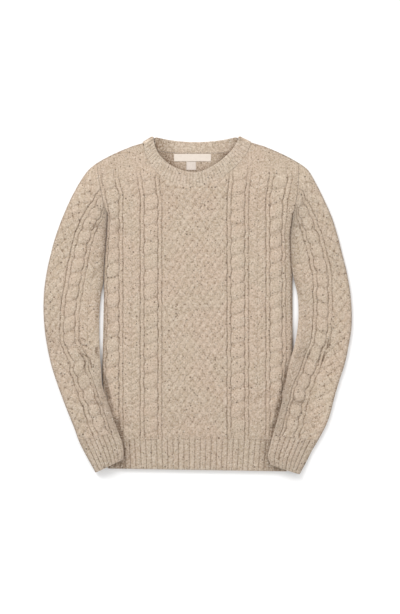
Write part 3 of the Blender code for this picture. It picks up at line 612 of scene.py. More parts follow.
def hem_ribs(part):
    """The hem's ribs at a part of its width. They stop a little before its folds."""
    part_in_ribs = (part - HEM_MARGIN) / (1.0 - 2.0 * HEM_MARGIN)
    return rib_wave(np.clip(part_in_ribs, 0.0, 1.0), HEM_RIBS)


def started_ribs(across, down):
    """Painted shade of the hem's rib valleys in the courses above its seam, where the ribs start.
    """
    left, right = body_edge(True, down), body_edge(False, down)
    valleys = hem_ribs((across + left) / (left + right))[1]
    return STARTED_SHADE * valleys * smooth((down - RIB_TOP_DOWN + STARTED_REACH) / 0.008)


def front_surface_maker(columns, rows):
    """Points of the front for a column and a row."""
    row_down, row_part, row_outer = rows

    def surface(column, row):
        straight = columns[column]
        across, down, side_room, top_room, below_top = body_spot(
            straight, row_down[row], row_part[row], True)
        raised, dark = body_knit(straight - PATTERN_MIDDLE, down)
        edge_fade = 0.5 + 0.5 * smooth(below_top / 0.006)
        raised = raised * (0.45 + 0.55 * smooth((RIB_TOP_DOWN - down) / 0.010))
        neck_edge = NECK_EDGE_RISE * (1.0 - smooth(below_top / NECK_EDGE_REACH))
        raised = raised + neck_edge * (top_room > 0.0)
        rise = quarter_round(side_room, FOLD_REACH) * quarter_round(top_room, FOLD_REACH)
        folds = fold_height(BODY_FOLDS, across, down)
        soft = (swell(across, down) + folds) * rise
        outside = SEAM_BASE + (FRONT_TOP + raised * edge_fade - SEAM_BASE) * rise + soft
        room = np.minimum(side_room, top_room)
        inside = inner_face(FRONT_SEAM_UNDER, FRONT_UNDER, room)
        outer = row_outer[row]
        points = place(across, down, np.where(outer, outside, inside))
        stitches = np.stack([straight, down], axis=-1)
        # Painted shade: top of the yoke, lower body, the valley by the right sleeve, folds and
        # rims.
        yoke_and_low_shade = YOKE_AND_LOW_SHADE * np.maximum(smooth((YOKE_SHADE_ABOVE - down) / 0.020),
                                         smooth((down - LOW_SHADE_BELOW) / 0.030))
        stitchy = 0.66 + 0.34 * np.sin(down * 1700.0) * np.sin(side_room * 1500.0 + 1.0)
        beside_arm = smooth((down - ARM_VALLEY_START) / 0.025)
        beside_arm = beside_arm * smooth((ARM_VALLEY_END - down) / 0.040)
        arm_valley = ARM_VALLEY_SHADE * smooth((ARM_VALLEY_REACH - side_room) / ARM_VALLEY_REACH)
        arm_valley = arm_valley * stitchy * beside_arm * (across > 0.0)
        dark = np.maximum.reduce([dark * edge_fade, fold_shade(folds, *FRONT_FOLD_SHADE),
                                  rim_shade(room), yoke_and_low_shade, arm_valley,
                                  started_ribs(across, down)])
        return points, stitches, np.where(outer, dark, 0.0)

    return surface


front_columns = body_columns(step=0.00152, gutter_step=0.00095)
front_rows = body_rows(step=0.00185, yoke_steps=56, inner_yoke_steps=7, inner_steps=14)
front = knitted_wall("front_knit", len(front_columns) - 1, len(front_rows[0]),
                     front_surface_maker(front_columns, front_rows), tube=False)


# %% Back panel
PURL_ROW = 0.0050
SIDE_SHADE_START, SIDE_SHADE_REACH = 0.030, 0.034
COLLAR_SHADE_DOWN, COLLAR_SHADE_REACH = 0.042, 0.010


def inside_shade(across, down):
    """Painted shade inside the neck: purl-row stripes, more under the collar, most at both sides.
    """
    away = np.hypot((across - BAND_INNER_MIDDLE) / BAND_INNER_HALF,
                    (down - BAND_BASE_DOWN) / (BAND_FRONT_DOWN - BAND_BASE_DOWN))
    purl = 0.5 + 0.5 * np.sin(2.0 * np.pi * down / PURL_ROW + 1.5 * np.sin(across * 900.0))
    beside = smooth((np.abs(across - BAND_INNER_MIDDLE) - SIDE_SHADE_START) / SIDE_SHADE_REACH)
    below = smooth((down - COLLAR_SHADE_DOWN) / COLLAR_SHADE_REACH)
    near_band = smooth((away - 0.74) / 0.26) * below
    return 0.14 + 0.18 * purl + 0.30 * near_band + 0.62 * beside


def back_surface_maker(columns, rows):
    """Points of the back: pressed relief below, a plain face above."""
    row_down, row_part, row_outer = rows

    def surface(column, row):
        straight = columns[column]
        across, down, side_room, top_room, below_top = body_spot(
            straight, row_down[row], row_part[row], False)
        raised, dark = body_knit(straight - PATTERN_MIDDLE, down)
        room = np.minimum(side_room, top_room)
        turned = (BACK_SEAM_TOP - SEAM_LIP) * (1.0 - quarter_round(room, FOLD_REACH))
        outside = np.maximum(turned, pressed_relief(raised) * smooth(below_top / 0.004))
        inside = inner_face(BACK_SEAM_TOP, WALL, room)
        outer = row_outer[row]
        points = place(across, down, np.where(outer, outside, inside))
        stitches = np.stack([straight, down], axis=-1)
        return points, stitches, np.where(outer, dark, inside_shade(across, down))

    return surface


back_columns = body_columns(step=0.0024, gutter_step=0.0012)
back_rows = body_rows(step=0.0028, yoke_steps=32, inner_yoke_steps=64, inner_steps=14)
back = knitted_wall("back_knit", len(back_columns) - 1, len(back_rows[0]),
                    back_surface_maker(back_columns, back_rows), tube=False)

# %% [markdown]
# ## The ribbed hem
#
# Rib knitting stands in rounded columns with a narrow valley between them, drawn in a little at
# the seam above. The front half shows its ribs, and the back half is pressed flat on the table.

# %% Hem, front and back halves
RIB_RAISED, RIB_PRESSED = 0.0019, 0.0011
HEM_TOP_DOWN = RIB_TOP_DOWN - SEAM_GAP / 2.0
HEM_DEEP = HEM_DOWN - HEM_TOP_DOWN
HEM_ROLL, HEM_ROLL_REACH = 0.0010, 0.003
CUFF_EDGES, CUFF_SHADE, CUFF_SHADE_REACH = (0.148, 0.141), 0.62, 0.014


def hem_surface_maker(columns, rows, is_front):
    """Points of one half of the hem."""
    row_share, row_outer = rows

    def surface(column, row):
        part = columns[column]
        share = row_share[row]
        down = HEM_TOP_DOWN + HEM_DEEP * (1.0 - share)
        left, right = body_edge(True, down), body_edge(False, down)
        across = -left + (left + right) * part
        lowered = down + HEM_TILT * (across / BODY_HALF) * (1.0 - share)
        room = np.maximum(np.minimum(across + left, right - across), 0.0)
        rise = quarter_round(room, FOLD_REACH)
        ribs, valleys = hem_ribs(part)
        ends = rib_ends(np.minimum(share, 1.0 - share) * HEM_DEEP)
        rolled = HEM_ROLL * (1.0 - quarter_round(share * HEM_DEEP, HEM_ROLL_REACH))
        wobble = 0.0004 * np.sin(across * 37.0 + 0.7) + 0.0003 * np.sin(across * 83.0)
        if is_front:
            crown = FRONT_TOP + RIB_RAISED * ribs * ends - rolled + wobble * share
            outside = SEAM_BASE + (crown - SEAM_BASE) * rise
            inside = inner_face(FRONT_SEAM_UNDER, FRONT_UNDER, room)
        else:
            outside = np.maximum((BACK_SEAM_TOP - SEAM_LIP) * (1.0 - rise),
                                 RIB_PRESSED * (1.0 - ribs) ** 1.3)
            inside = inner_face(BACK_SEAM_TOP, WALL, room)
        outer = row_outer[row]
        points = place(across, lowered, np.where(outer, outside, inside))
        stitches = np.stack([across, down], axis=-1)
        in_ribs = (part > HEM_MARGIN / 2.0) & (part < 1.0 - HEM_MARGIN / 2.0)
        # Painted shadow of each cuff on the hem beside it, and painted shade in the rib valleys.
        from_cuff = np.where(across < 0.0, across + CUFF_EDGES[0], CUFF_EDGES[1] - across)
        beside = np.exp(-(np.maximum(from_cuff, 0.0) / CUFF_SHADE_REACH) ** 2) * is_front
        dark = np.maximum(valleys * ends * (0.88 + 0.9 * beside), CUFF_SHADE * beside)
        return points, stitches, np.where(outer & in_ribs, dark, 0.0)

    return surface


def hem_grid(across_steps, down_steps, inner_steps):
    """Parts across the hem, and the rows there and back."""
    fold = np.array([0.0, 0.0010, 0.0028, 0.0055, 0.0090])
    middle = np.linspace(HEM_MARGIN, 1.0 - HEM_MARGIN, across_steps + 1)
    columns = np.concatenate([fold, middle, 1.0 - fold[::-1]])
    hold = EDGE_HOLD / (HEM_DOWN - RIB_TOP_DOWN)
    outside = np.insert(np.linspace(0.0, 1.0, down_steps + 1), down_steps, 1.0 - hold)
    share = np.concatenate([outside, np.linspace(1.0, 0.0, inner_steps + 1)])
    outer = np.arange(len(share)) < len(outside)
    return columns, (share, outer)


hem_columns, hem_rows = hem_grid(across_steps=HEM_RIBS * 14, down_steps=30, inner_steps=2)
hem_front = knitted_wall("hem_front_rib", len(hem_columns) - 1, len(hem_rows[0]),
                         hem_surface_maker(hem_columns, hem_rows, True), tube=False)
hem_columns, hem_rows = hem_grid(across_steps=HEM_RIBS * 8, down_steps=12, inner_steps=2)
hem_back = knitted_wall("hem_back_rib", len(hem_columns) - 1, len(hem_rows[0]),
                        hem_surface_maker(hem_columns, hem_rows, False), tube=False)

# %% [markdown]
# ## The sleeves
#
# A sleeve is a flattened tube. It is drawn as sections from the armhole to the wrist, each given
# by its outer and its inner edge, and a smooth curve runs through them. Lower down the arm the
# sleeve climbs onto the edge of the body, so every point is lifted by what lies under it.

# %% Sections of the sleeves: outer across and down, inner across and down
SLEEVES = {
    LEFT: (
        (0.2010, 0.054, 0.1810, 0.156),
        (0.2200, 0.070, 0.1815, 0.164),
        (0.2385, 0.097, 0.1821, 0.178),
        (0.2550, 0.128, 0.1829, 0.195),
        (0.2700, 0.162, 0.1843, 0.215),
        (0.2840, 0.200, 0.1861, 0.240),
        (0.2940, 0.236, 0.1879, 0.266),
        (0.3020, 0.272, 0.1888, 0.292),
        (0.3075, 0.312, 0.1940, 0.320),
        (0.3085, 0.352, 0.1965, 0.352),
        (0.3060, 0.388, 0.1972, 0.384),
        (0.3010, 0.422, 0.1966, 0.414),
        (0.2935, 0.456, 0.1950, 0.442),
        (0.2830, 0.490, 0.1924, 0.468),
        (0.2700, 0.526, 0.1905, 0.496),
        (0.2575, 0.558, 0.1805, 0.530),
        (0.2470, 0.584, 0.1700, 0.560),
        (0.2385, 0.608, 0.1590, 0.590),
        (0.2290, 0.628, 0.1510, 0.611),
        (0.2170, 0.650, 0.1480, 0.630),
        (0.2045, 0.672, 0.1490, 0.645),
    ),
    RIGHT: (
        (0.2010, 0.054, 0.1900, 0.156),
        (0.2200, 0.069, 0.1890, 0.165),
        (0.2360, 0.096, 0.1870, 0.180),
        (0.2520, 0.128, 0.1848, 0.197),
        (0.2670, 0.162, 0.1848, 0.217),
        (0.2790, 0.200, 0.1858, 0.242),
        (0.2880, 0.236, 0.1876, 0.268),
        (0.2970, 0.272, 0.1932, 0.294),
        (0.3040, 0.312, 0.1990, 0.320),
        (0.3070, 0.352, 0.2008, 0.352),
        (0.3060, 0.388, 0.1988, 0.382),
        (0.3000, 0.424, 0.1935, 0.412),
        (0.2930, 0.456, 0.1850, 0.442),
        (0.2820, 0.490, 0.1786, 0.470),
        (0.2720, 0.524, 0.1732, 0.498),
        (0.2640, 0.556, 0.1665, 0.533),
        (0.2540, 0.582, 0.1590, 0.562),
        (0.2400, 0.608, 0.1490, 0.596),
        (0.2270, 0.630, 0.1430, 0.620),
        (0.2160, 0.652, 0.1390, 0.640),
        (0.2030, 0.6755, 0.1450, 0.656),
    ),
}
CUFF_SECTION = 17

# Station, and how far the pattern is turned toward the inner edge there, in widths of the sleeve
SLEEVE_TWIST = {
    LEFT: ((0.0, 0.22), (1.0, 0.22), (2.0, 0.18), (3.0, 0.10), (4.0, 0.045), (5.5, 0.025),
           (8.0, 0.0), (9.5, -0.040), (10.7, -0.062), (11.3, -0.025), (11.8, 0.060),
           (12.15, 0.088), (12.6, 0.045), (13.1, 0.065), (14.0, 0.138), (17.0, 0.145)),
    RIGHT: ((0.0, 0.21), (1.0, 0.14), (2.0, 0.105), (3.0, 0.04), (4.0, 0.01), (5.0, -0.024),
            (6.0, -0.050), (7.0, -0.035), (8.0, 0.030), (9.0, 0.057), (11.0, 0.050),
            (12.0, 0.105), (13.0, 0.130), (14.0, 0.200), (15.5, 0.210), (17.0, 0.170)),
}


def turned_part(side, station, part):
    """Part across the sleeve where a part of its pattern lies, once the arm is twisted."""
    stations, shifts = np.array(SLEEVE_TWIST[side]).T
    shift = np.interp(station, stations, shifts)
    return part + 4.0 * shift * part * (1.0 - part)


# Down where a sleeve starts to climb onto the body, and where it lies all over it
CLIMBS = {LEFT: (0.400, 0.470), RIGHT: (0.350, 0.418)}
CLIMB_RELIEF, CLIMB_ROOM = 0.0030, 0.0005
CLIMB_HEIGHT = FRONT_TOP + CLIMB_RELIEF + CLIMB_ROOM
CLIMB_WIDTH = 0.040


def sleeve_section(side, station):
    """The four numbers of the section at each station, on a smooth curve through the table."""
    table = np.array(SLEEVES[side])
    low = np.minimum(station.astype(int), len(table) - 2)
    part = (station - low)[:, None]
    before, start, end, after = (table[np.clip(low + step, 0, len(table) - 1)]
                                 for step in (-1, 0, 1, 2))
    bend = 2.0 * before - 5.0 * start + 4.0 * end - after
    twist = 3.0 * start - before - 3.0 * end + after
    return start + 0.5 * part * (end - before + part * (bend + part * twist))


def even_stations(side, first, last, steps):
    """Stations evenly spaced along the middle of the sleeve, and the length to each."""
    fine = np.linspace(first, last, 2001)
    sections = sleeve_section(side, fine)
    middle = (sections[:, 0:2] + sections[:, 2:4]) / 2.0
    runs = np.hypot(*np.diff(middle, axis=0).T)
    length = np.concatenate([[0.0], np.cumsum(runs)])
    wanted = np.linspace(0.0, length[-1], steps - 1)
    wanted = np.concatenate([[0.0, EDGE_HOLD], wanted[1:-1], [length[-1] - EDGE_HOLD, length[-1]]])
    return np.interp(wanted, length, fine), wanted


def lies_on(side, across, down):
    """Height of what is under a sleeve: the table, or the body past its edge."""
    starts, full = CLIMBS[side]
    outside = across - body_edge(side == LEFT, np.minimum(down, HEM_DOWN))
    ramp = smooth((CLIMB_WIDTH - outside) / CLIMB_WIDTH)
    return CLIMB_HEIGHT * ramp * smooth((down - starts) / (full - starts))


# %% [markdown]
# The arms were bent at the elbow when the sweater was laid down, so short folds run in from the
# inner edge there. Further up, the sleeve head is eased into the armhole with soft puckers.

# %% Folds of the sleeves: part across and station at both ends, height, half width
SLEEVE_FOLDS = {
    LEFT: (
        (0.30, 11.30, 0.05, 10.70, -0.0007, 0.0080),
        (0.95, 2.60, 0.55, 3.60, -0.0014, 0.0070),
        (0.97, 3.60, 0.62, 4.90, 0.0010, 0.0080),
        (0.96, 5.70, 0.75, 7.20, -0.0012, 0.0055),
        (0.15, 1.20, 0.40, 3.00, 0.0008, 0.0100),
        (0.55, 14.60, 0.95, 15.20, -0.0014, 0.0060),
        (0.10, 15.60, 0.55, 16.10, -0.0010, 0.0060),
    ),
    RIGHT: (
        (0.98, 11.40, 0.70, 11.00, 0.0012, 0.0050),
        (0.96, 12.10, 0.72, 11.70, -0.0012, 0.0040),
        (0.95, 2.40, 0.60, 3.40, -0.0013, 0.0070),
        (0.97, 3.90, 0.66, 5.10, 0.0010, 0.0080),
        (0.95, 6.40, 0.72, 7.40, -0.0010, 0.0060),
        (0.15, 1.30, 0.38, 3.20, 0.0008, 0.0100),
        (0.50, 14.50, 0.92, 15.00, -0.0013, 0.0060),
        (0.12, 15.40, 0.50, 16.20, -0.0010, 0.0065),
    ),
}

# Sharper creases at the elbows: start across and down, end across and down, height, half width
ELBOW_CREASES = (
    (-0.234, 0.403, -0.223, 0.410, -0.0024, 0.0016),
    (-0.239, 0.406, -0.233, 0.417, -0.0026, 0.0016),
    (-0.233, 0.417, -0.218, 0.421, -0.0022, 0.0017),
    (-0.238, 0.432, -0.228, 0.444, -0.0026, 0.0016),
    (-0.228, 0.444, -0.225, 0.455, -0.0028, 0.0016),
    (-0.225, 0.455, -0.228, 0.466, -0.0026, 0.0016),
    (-0.233, 0.434, -0.216, 0.444, -0.0026, 0.0016),
    (-0.216, 0.444, -0.210, 0.466, -0.0026, 0.0016),
    (-0.205, 0.418, -0.199, 0.442, -0.0020, 0.0046),
    (-0.213, 0.425, -0.197, 0.414, 0.0022, 0.0030),
    (-0.228, 0.437, -0.219, 0.450, 0.0014, 0.0024),
    (0.250, 0.417, 0.244, 0.434, -0.0024, 0.0016),
    (0.244, 0.434, 0.239, 0.462, -0.0024, 0.0016),
    (0.254, 0.429, 0.247, 0.456, -0.0026, 0.0016),
    (0.261, 0.400, 0.258, 0.427, -0.0024, 0.0016),
    (0.225, 0.431, 0.215, 0.446, -0.0024, 0.0016),
    (0.222, 0.410, 0.209, 0.436, -0.0016, 0.0022),
    (0.256, 0.412, 0.250, 0.426, 0.0012, 0.0026),
)
STATION_STEP = 0.0335
PART_STEP = 0.105
TUBE_WALES = 0.096

# Stations where the shade of the valley beside the body ends, and how long it takes to fade
VALLEY_ENDS = {LEFT: (11.6, 3.4), RIGHT: (8.6, 1.5)}
VALLEY_SHADE, VALLEY_HALF, VALLEY_FADE = 0.66, 0.0145, 0.012
SLEEVE_FOLD_SHADE = (0.90, 0.0006)
SLEEVE_SWELL = 0.6


def sleeve_folds(side, part, station):
    """Soft folds of one sleeve, measured along and across it in metres."""
    scale = np.array([PART_STEP, STATION_STEP, PART_STEP, STATION_STEP, 1.0, 1.0])
    folds = np.array(SLEEVE_FOLDS[side]) * scale
    return fold_height(folds, part * PART_STEP, station * STATION_STEP)


# %% Sleeve and cuff tubes
SLEEVE_START_REACH = 0.030
CUFF_RIBS, CUFF_VALLEY_SHADE = 9, 1.25
SEAM_STATION = 0.004


def tube_columns(top_steps, under_steps):
    """Parts across a flattened tube, round its upper and then its lower face."""
    fold = np.array([0.0, 0.004, 0.013, 0.027, 0.046])
    top = np.concatenate([fold, np.linspace(0.066, 0.934, top_steps + 1), 1.0 - fold[::-1]])
    under = np.concatenate([1.0 - fold[1:], np.linspace(0.934, 0.066, under_steps + 1),
                            fold[:0:-1]])
    part = np.concatenate([top, under])
    on_top = np.concatenate([np.ones(len(top), bool), np.zeros(len(under), bool)])
    return part, on_top


def sleeve_pattern(across, along):
    """Cable, gutters and side panels of a sleeve, faint near the shoulder seam."""
    raised, dark = sleeve_knit(across, along)
    below_seam = smooth(along / SLEEVE_START_REACH)
    return raised * (0.55 + 0.45 * below_seam), dark * (0.35 + 0.65 * below_seam)


def cuff_pattern(part, from_end):
    """Ribs of a cuff, drawn in where it is sewn to the sleeve."""
    ribs, valleys = rib_wave(part + 0.5 / CUFF_RIBS, CUFF_RIBS)
    ends = rib_ends(from_end)
    # Painted shade in the rib valleys.
    return RIB_RAISED * ribs * ends, CUFF_VALLEY_SHADE * valleys * ends


def tube_surface_maker(side, columns, outer_stations, inner_stations, is_sleeve):
    """Points of a sleeve or a cuff: the outer face down the arm, then back up the inside."""
    column_part, column_top = columns
    stations = np.concatenate([outer_stations[0], inner_stations[0][::-1]])
    lengths = np.concatenate([outer_stations[1], inner_stations[1][::-1]])
    is_outer = np.arange(len(stations)) < len(outer_stations[0])
    total = outer_stations[1][-1]

    def surface(column, row):
        column = column % len(column_part)
        pattern_part, on_top = column_part[column], column_top[column]
        outer, station, along = is_outer[row], stations[row], lengths[row]
        part = turned_part(side, station, pattern_part) if is_sleeve else pattern_part
        section = sleeve_section(side, station)
        width = np.hypot(section[:, 0] - section[:, 2], section[:, 1] - section[:, 3])
        held = np.where(outer, 0.0, WALL / width)
        seen = held + (1.0 - 2.0 * held) * part
        across = section[:, 0] * (1.0 - seen) + section[:, 2] * seen
        down = section[:, 1] * (1.0 - seen) + section[:, 3] * seen
        across = across + armhole_bow(seen) * np.clip(1.0 - station / 2.0, 0.0, 1.0)
        room = np.minimum(seen, 1.0 - seen) * width
        rise = quarter_round(room, FOLD_REACH)
        if is_sleeve:
            raised, dark = sleeve_pattern((pattern_part - 0.5) * width, along)
        else:
            raised, dark = cuff_pattern(pattern_part, np.minimum(along, total - along))
        folds = sleeve_folds(side, part, station)
        folds = folds + fold_height(ELBOW_CREASES, side * across, down)
        crown = FRONT_TOP + raised + folds + SLEEVE_SWELL * swell(across, down)
        over = SIDE_SEAM_HEIGHT + (crown - SIDE_SEAM_HEIGHT) * rise
        under = SIDE_SEAM_HEIGHT * (1.0 - rise) + pressed_relief(raised) * rise
        inner_rise = quarter_round(room - WALL, FOLD_REACH - WALL)
        reach = np.where(on_top, FRONT_UNDER, WALL) - SIDE_SEAM_HEIGHT
        hollow = SIDE_SEAM_HEIGHT + reach * inner_rise
        height = np.where(outer, np.where(on_top, over, under), hollow)
        height = height + lies_on(side, across, down)
        round_arm = np.where(on_top, pattern_part, 2.0 - pattern_part) * TUBE_WALES
        stitches = np.stack([round_arm, along], axis=-1)
        # Painted shade: the valley beside the body, folds, the turned-down outer rim and the
        # pattern.
        valley_end, valley_fade = VALLEY_ENDS[side]
        beside_body = smooth((station - 1.2) / 1.5) * smooth((valley_end - station) / valley_fade)
        stitchy = 0.72 + 0.28 * np.sin(along * 1500.0) * np.sin(pattern_part * 190.0)
        arm_valley = VALLEY_SHADE * smooth((VALLEY_HALF - (1.0 - seen) * width) / VALLEY_FADE)
        arm_valley = arm_valley * (beside_body * stitchy)
        seen_dark = np.maximum.reduce([dark, fold_shade(folds, *SLEEVE_FOLD_SHADE),
                                       rim_shade((seen - held) * width), arm_valley])
        dark = np.where(outer, np.where(on_top, seen_dark, dark), 0.0)
        return place(side * across, down, height), stitches, dark

    return surface


# Steps over the upper and the lower face, then along the outside and along the inside
SLEEVE_STEPS, CUFF_STEPS = (92, 40, 330, 24), (112, 60, 44, 3)


def arm_tube(name, side, is_sleeve):
    """One sleeve down to the seam of its cuff, or the cuff below that seam."""
    if is_sleeve:
        first, last, steps = 0.0, CUFF_SECTION - SEAM_STATION, SLEEVE_STEPS
    else:
        first, last, steps = CUFF_SECTION + SEAM_STATION, len(SLEEVES[side]) - 1, CUFF_STEPS
    columns = tube_columns(*steps[:2])
    outer_stations, inner_stations = (even_stations(side, first, last, count)
                                      for count in steps[2:])
    surface = tube_surface_maker(side, columns, outer_stations, inner_stations, is_sleeve)
    rows = len(outer_stations[0]) + len(inner_stations[0])
    return knitted_wall(name, len(columns[0]), rows, surface, tube=True)


sleeve_pieces, cuff_pieces = {}, {}
for side, side_name in ((LEFT, "left"), (RIGHT, "right")):
    sleeve_pieces[side] = arm_tube(f"sleeve_{side_name}_knit", side, is_sleeve=True)
    cuff_pieces[side] = arm_tube(f"cuff_{side_name}_rib", side, is_sleeve=False)

# %% [markdown]
# ## The neckband
#
# The band is one ring of double rib. It stands up on the back of the neck, turns over at the
# shoulders and scoops down over the front, so its section is carried along three stretches: the
# front, the two folds and the back. Ribs are raised on whichever face looks up.

# %% Neckband ring
BAND_HALF_THICKNESS = 0.0025
BAND_RIB = 0.0013
FRONT_BAND_RIBS, BACK_BAND_RIBS = 42, 17
FRONT_BAND_RAISED, BACK_BAND_RAISED = 0.70, 0.60
FRONT_BAND_STEPS, BACK_BAND_STEPS, BAND_FOLD_STEPS = FRONT_BAND_RIBS * 8, BACK_BAND_RIBS * 14, 14
BACK_BAND_CORNER = 0.0034
BAND_STITCH_RIB = 0.011
BACK_SEAM_CENTRE = -0.080
FRONT_SEAM_SCALE, BACK_SEAM_SCALE = 0.998, 0.996
SEAM_POINTS, INNER_POINTS = 400, 800
BACK_SHADE, BACK_SHADE_START, BACK_SHADE_REACH = (0.22, 0.68), (0.034, 0.050), 0.040
TURN_SHADE, TURN_DOWN, TURN_REACH = 0.85, 0.013, 0.010
INSIDE_SHADE = 0.25


def evenly(points, parts):
    """Points at parts of a line's length."""
    runs = np.hypot(*np.diff(points, axis=0).T)
    length = np.concatenate([[0.0], np.cumsum(runs)])
    wanted = parts * length[-1]
    return np.stack([np.interp(wanted, length, points[:, axis]) for axis in (0, 1)], axis=-1)


def seam_line(is_front, centre_down, scale):
    """The neck seam, drawn in toward a centre by the seam's gap."""
    turn = np.linspace(-np.pi / 2.0, np.pi / 2.0, SEAM_POINTS)
    across = NECK_MIDDLE + NECK_HALF * np.sin(turn)
    points = np.stack([across, neck_depth(across, is_front)], axis=-1)
    centre = np.array([NECK_MIDDLE, centre_down])
    return centre + (points - centre) * scale


def band_inner(parts, is_front):
    """The inner edge of the band, across and down."""
    if is_front:
        angle = np.pi * parts
        power = 2.0 / (np.where(parts < 0.5, *FRONT_ROUNDNESS) - 0.05)
        sweep = -np.sign(np.cos(angle)) * np.abs(np.cos(angle)) ** power
        dip = np.sin(angle) ** power
        bottom = BAND_FRONT_DOWN
    else:
        sweep = 2.0 * parts - 1.0
        corner = smooth((1.0 - np.abs(sweep)) / 0.07) * np.abs(sweep) ** 2.5
        dip = 1.0 - sweep ** 2 - corner * BACK_BAND_CORNER / (BAND_BACK_DOWN - BAND_BASE_DOWN)
        bottom = BAND_BACK_DOWN
    return np.stack([BAND_INNER_MIDDLE + BAND_INNER_HALF * sweep,
                     BAND_BASE_DOWN + (bottom - BAND_BASE_DOWN) * dip], axis=-1)


front_parts = np.linspace(0.0, 1.0, FRONT_BAND_STEPS + 1)
back_parts = np.linspace(1.0, 0.0, BACK_BAND_STEPS + 1)
fold_parts = np.linspace(0.0, 1.0, BAND_FOLD_STEPS + 1)[1:-1]
front_seam = seam_line(True, NECK_CORNER_DOWN, FRONT_SEAM_SCALE)
back_seam = seam_line(False, BACK_SEAM_CENTRE, BACK_SEAM_SCALE)
inner_front = evenly(band_inner(np.linspace(0.0, 1.0, INNER_POINTS), True), front_parts)
inner_line = np.concatenate([
    inner_front,
    np.repeat(inner_front[-1:], len(fold_parts), axis=0),
    band_inner(back_parts, False),
    np.repeat(inner_front[:1], len(fold_parts), axis=0),
])
outer_line = np.concatenate([
    evenly(front_seam, front_parts),
    np.repeat(front_seam[-1:], len(fold_parts), axis=0),
    evenly(back_seam, back_parts),
    np.repeat(front_seam[:1], len(fold_parts), axis=0),
])
turned = np.concatenate([np.zeros(len(front_parts)), np.pi * fold_parts,
                         np.full(len(back_parts), np.pi), np.pi * (1.0 - fold_parts)])
between = np.full(len(fold_parts), 0.5)
rib_phase = np.concatenate([front_parts * FRONT_BAND_RIBS + 0.5, between,
                            back_parts * BACK_BAND_RIBS + 0.5, between])
rib_strength = np.concatenate([np.full(len(front_parts), FRONT_BAND_RAISED), between,
                               np.full(len(back_parts), BACK_BAND_RAISED), between])
faces_up = np.concatenate([np.full(len(front_parts), 1.0), np.full(len(fold_parts), 0.5),
                           np.full(len(back_parts), -1.0), np.full(len(fold_parts), 0.5)])
leans = outer_line - inner_line
leans /= np.hypot(*leans.T)[:, None]
bulges = np.stack([leans[:, 1], -leans[:, 0]], axis=-1)
bulges *= np.where(bulges[:, 1] > 0.0, -1.0, 1.0)[:, None]

# Round the section: part from the inner to the outer edge, and side, 1 out and -1 in
BAND_WIDE_STEPS = 22
out_parts = np.linspace(0.0, 1.0, BAND_WIDE_STEPS + 1)
out_parts[[1, -2]] = 0.012, 0.988
section_part = np.concatenate([out_parts, out_parts[::-1]])
section_side = np.concatenate([np.ones(BAND_WIDE_STEPS + 1), -np.ones(BAND_WIDE_STEPS + 1)])


def band_surface(column, row):
    """Points of the neckband: the column runs round the section, the row round the neck."""
    column = column % len(section_part)
    part, side = section_part[column], section_side[column]
    inner, outer = inner_line[row], outer_line[row]
    angle, up = turned[row], faces_up[row]
    width = np.hypot(*(outer - inner).T)
    from_inner = part * width
    inner_round = quarter_round(from_inner + 0.0002, 0.0030)
    from_edge = (1.0 - part) * width
    front_round = 0.97 + 0.03 * quarter_round(from_edge, 0.006)
    back_round = 0.35 + 0.65 * smooth(from_edge / 0.014)
    outer_round = np.where(up > 0.0, front_round, back_round)
    ribs, valleys = rib_wave(fraction(rib_phase[row]), 1.0)
    on_face = np.where(up > 0.0, side > 0.0, side < 0.0)
    ribbed = np.where(on_face, 1.0, 0.0) * smooth(from_inner / 0.004)
    ribbed = ribbed * (0.45 + 0.55 * smooth(from_edge / 0.003)) * rib_strength[row]
    thick = BAND_HALF_THICKNESS - BAND_RIB * np.where(on_face, (1.0 - ribs) * ribbed, 0.0)
    offset = side * thick * inner_round * outer_round
    radius = BAND_HALF_THICKNESS + SEAM_GAP + offset
    spot = inner + (outer - inner) * part[:, None]
    spot = spot + bulges[row] * (np.sin(angle) * radius)[:, None]
    height = FRONT_UNDER - SEAM_GAP + np.cos(angle) * radius
    stitches = np.stack([rib_phase[row] * BAND_STITCH_RIB, from_inner], axis=-1)
    # Painted shade: darker ends of the back band, the turns at the shoulders, rib valleys, inner
    # faces.
    from_middle = spot[:, 0] - BAND_INNER_MIDDLE
    from_start = np.abs(from_middle) - np.where(from_middle < 0.0, *BACK_SHADE_START)
    at_back = BACK_SHADE[0] + BACK_SHADE[1] * smooth(from_start / BACK_SHADE_REACH)
    tips = smooth((TURN_DOWN - spot[:, 1]) / TURN_REACH)
    shade = np.where(up < 0.0, at_back, TURN_SHADE * np.maximum(tips, np.sin(angle)))
    painted_darkness = np.where(on_face, np.maximum(valleys * ribbed, shade), INSIDE_SHADE)
    return place(spot[:, 0], spot[:, 1], height), stitches, painted_darkness


neckband = knitted_wall("neckband_rib", len(section_part), len(inner_line), band_surface,
                        tube=True)

# %% [markdown]
# ## The labels
#
# A wide woven label and a small tab are sewn inside the back of the neck. They are thin satin
# ribbon held down at the rims, so each is a grid given a soft sag, lowered along its rims and
# thickened with `bmesh.ops.solidify`. Both are left bare.

# %% Label and tab
LABEL_SIZE, LABEL_PLACE = (0.0736, 0.0148), (-0.011, 0.0436)
TAB_SIZE, TAB_PLACE = (0.0188, 0.0163), (-0.0137, 0.0600)
LABEL_THICK, LABEL_LIFT = 0.0006, 0.0003
LABEL_SHARP = math.radians(40.0)
END_RIM, SIDE_RIM = 0.00012, 0.00010


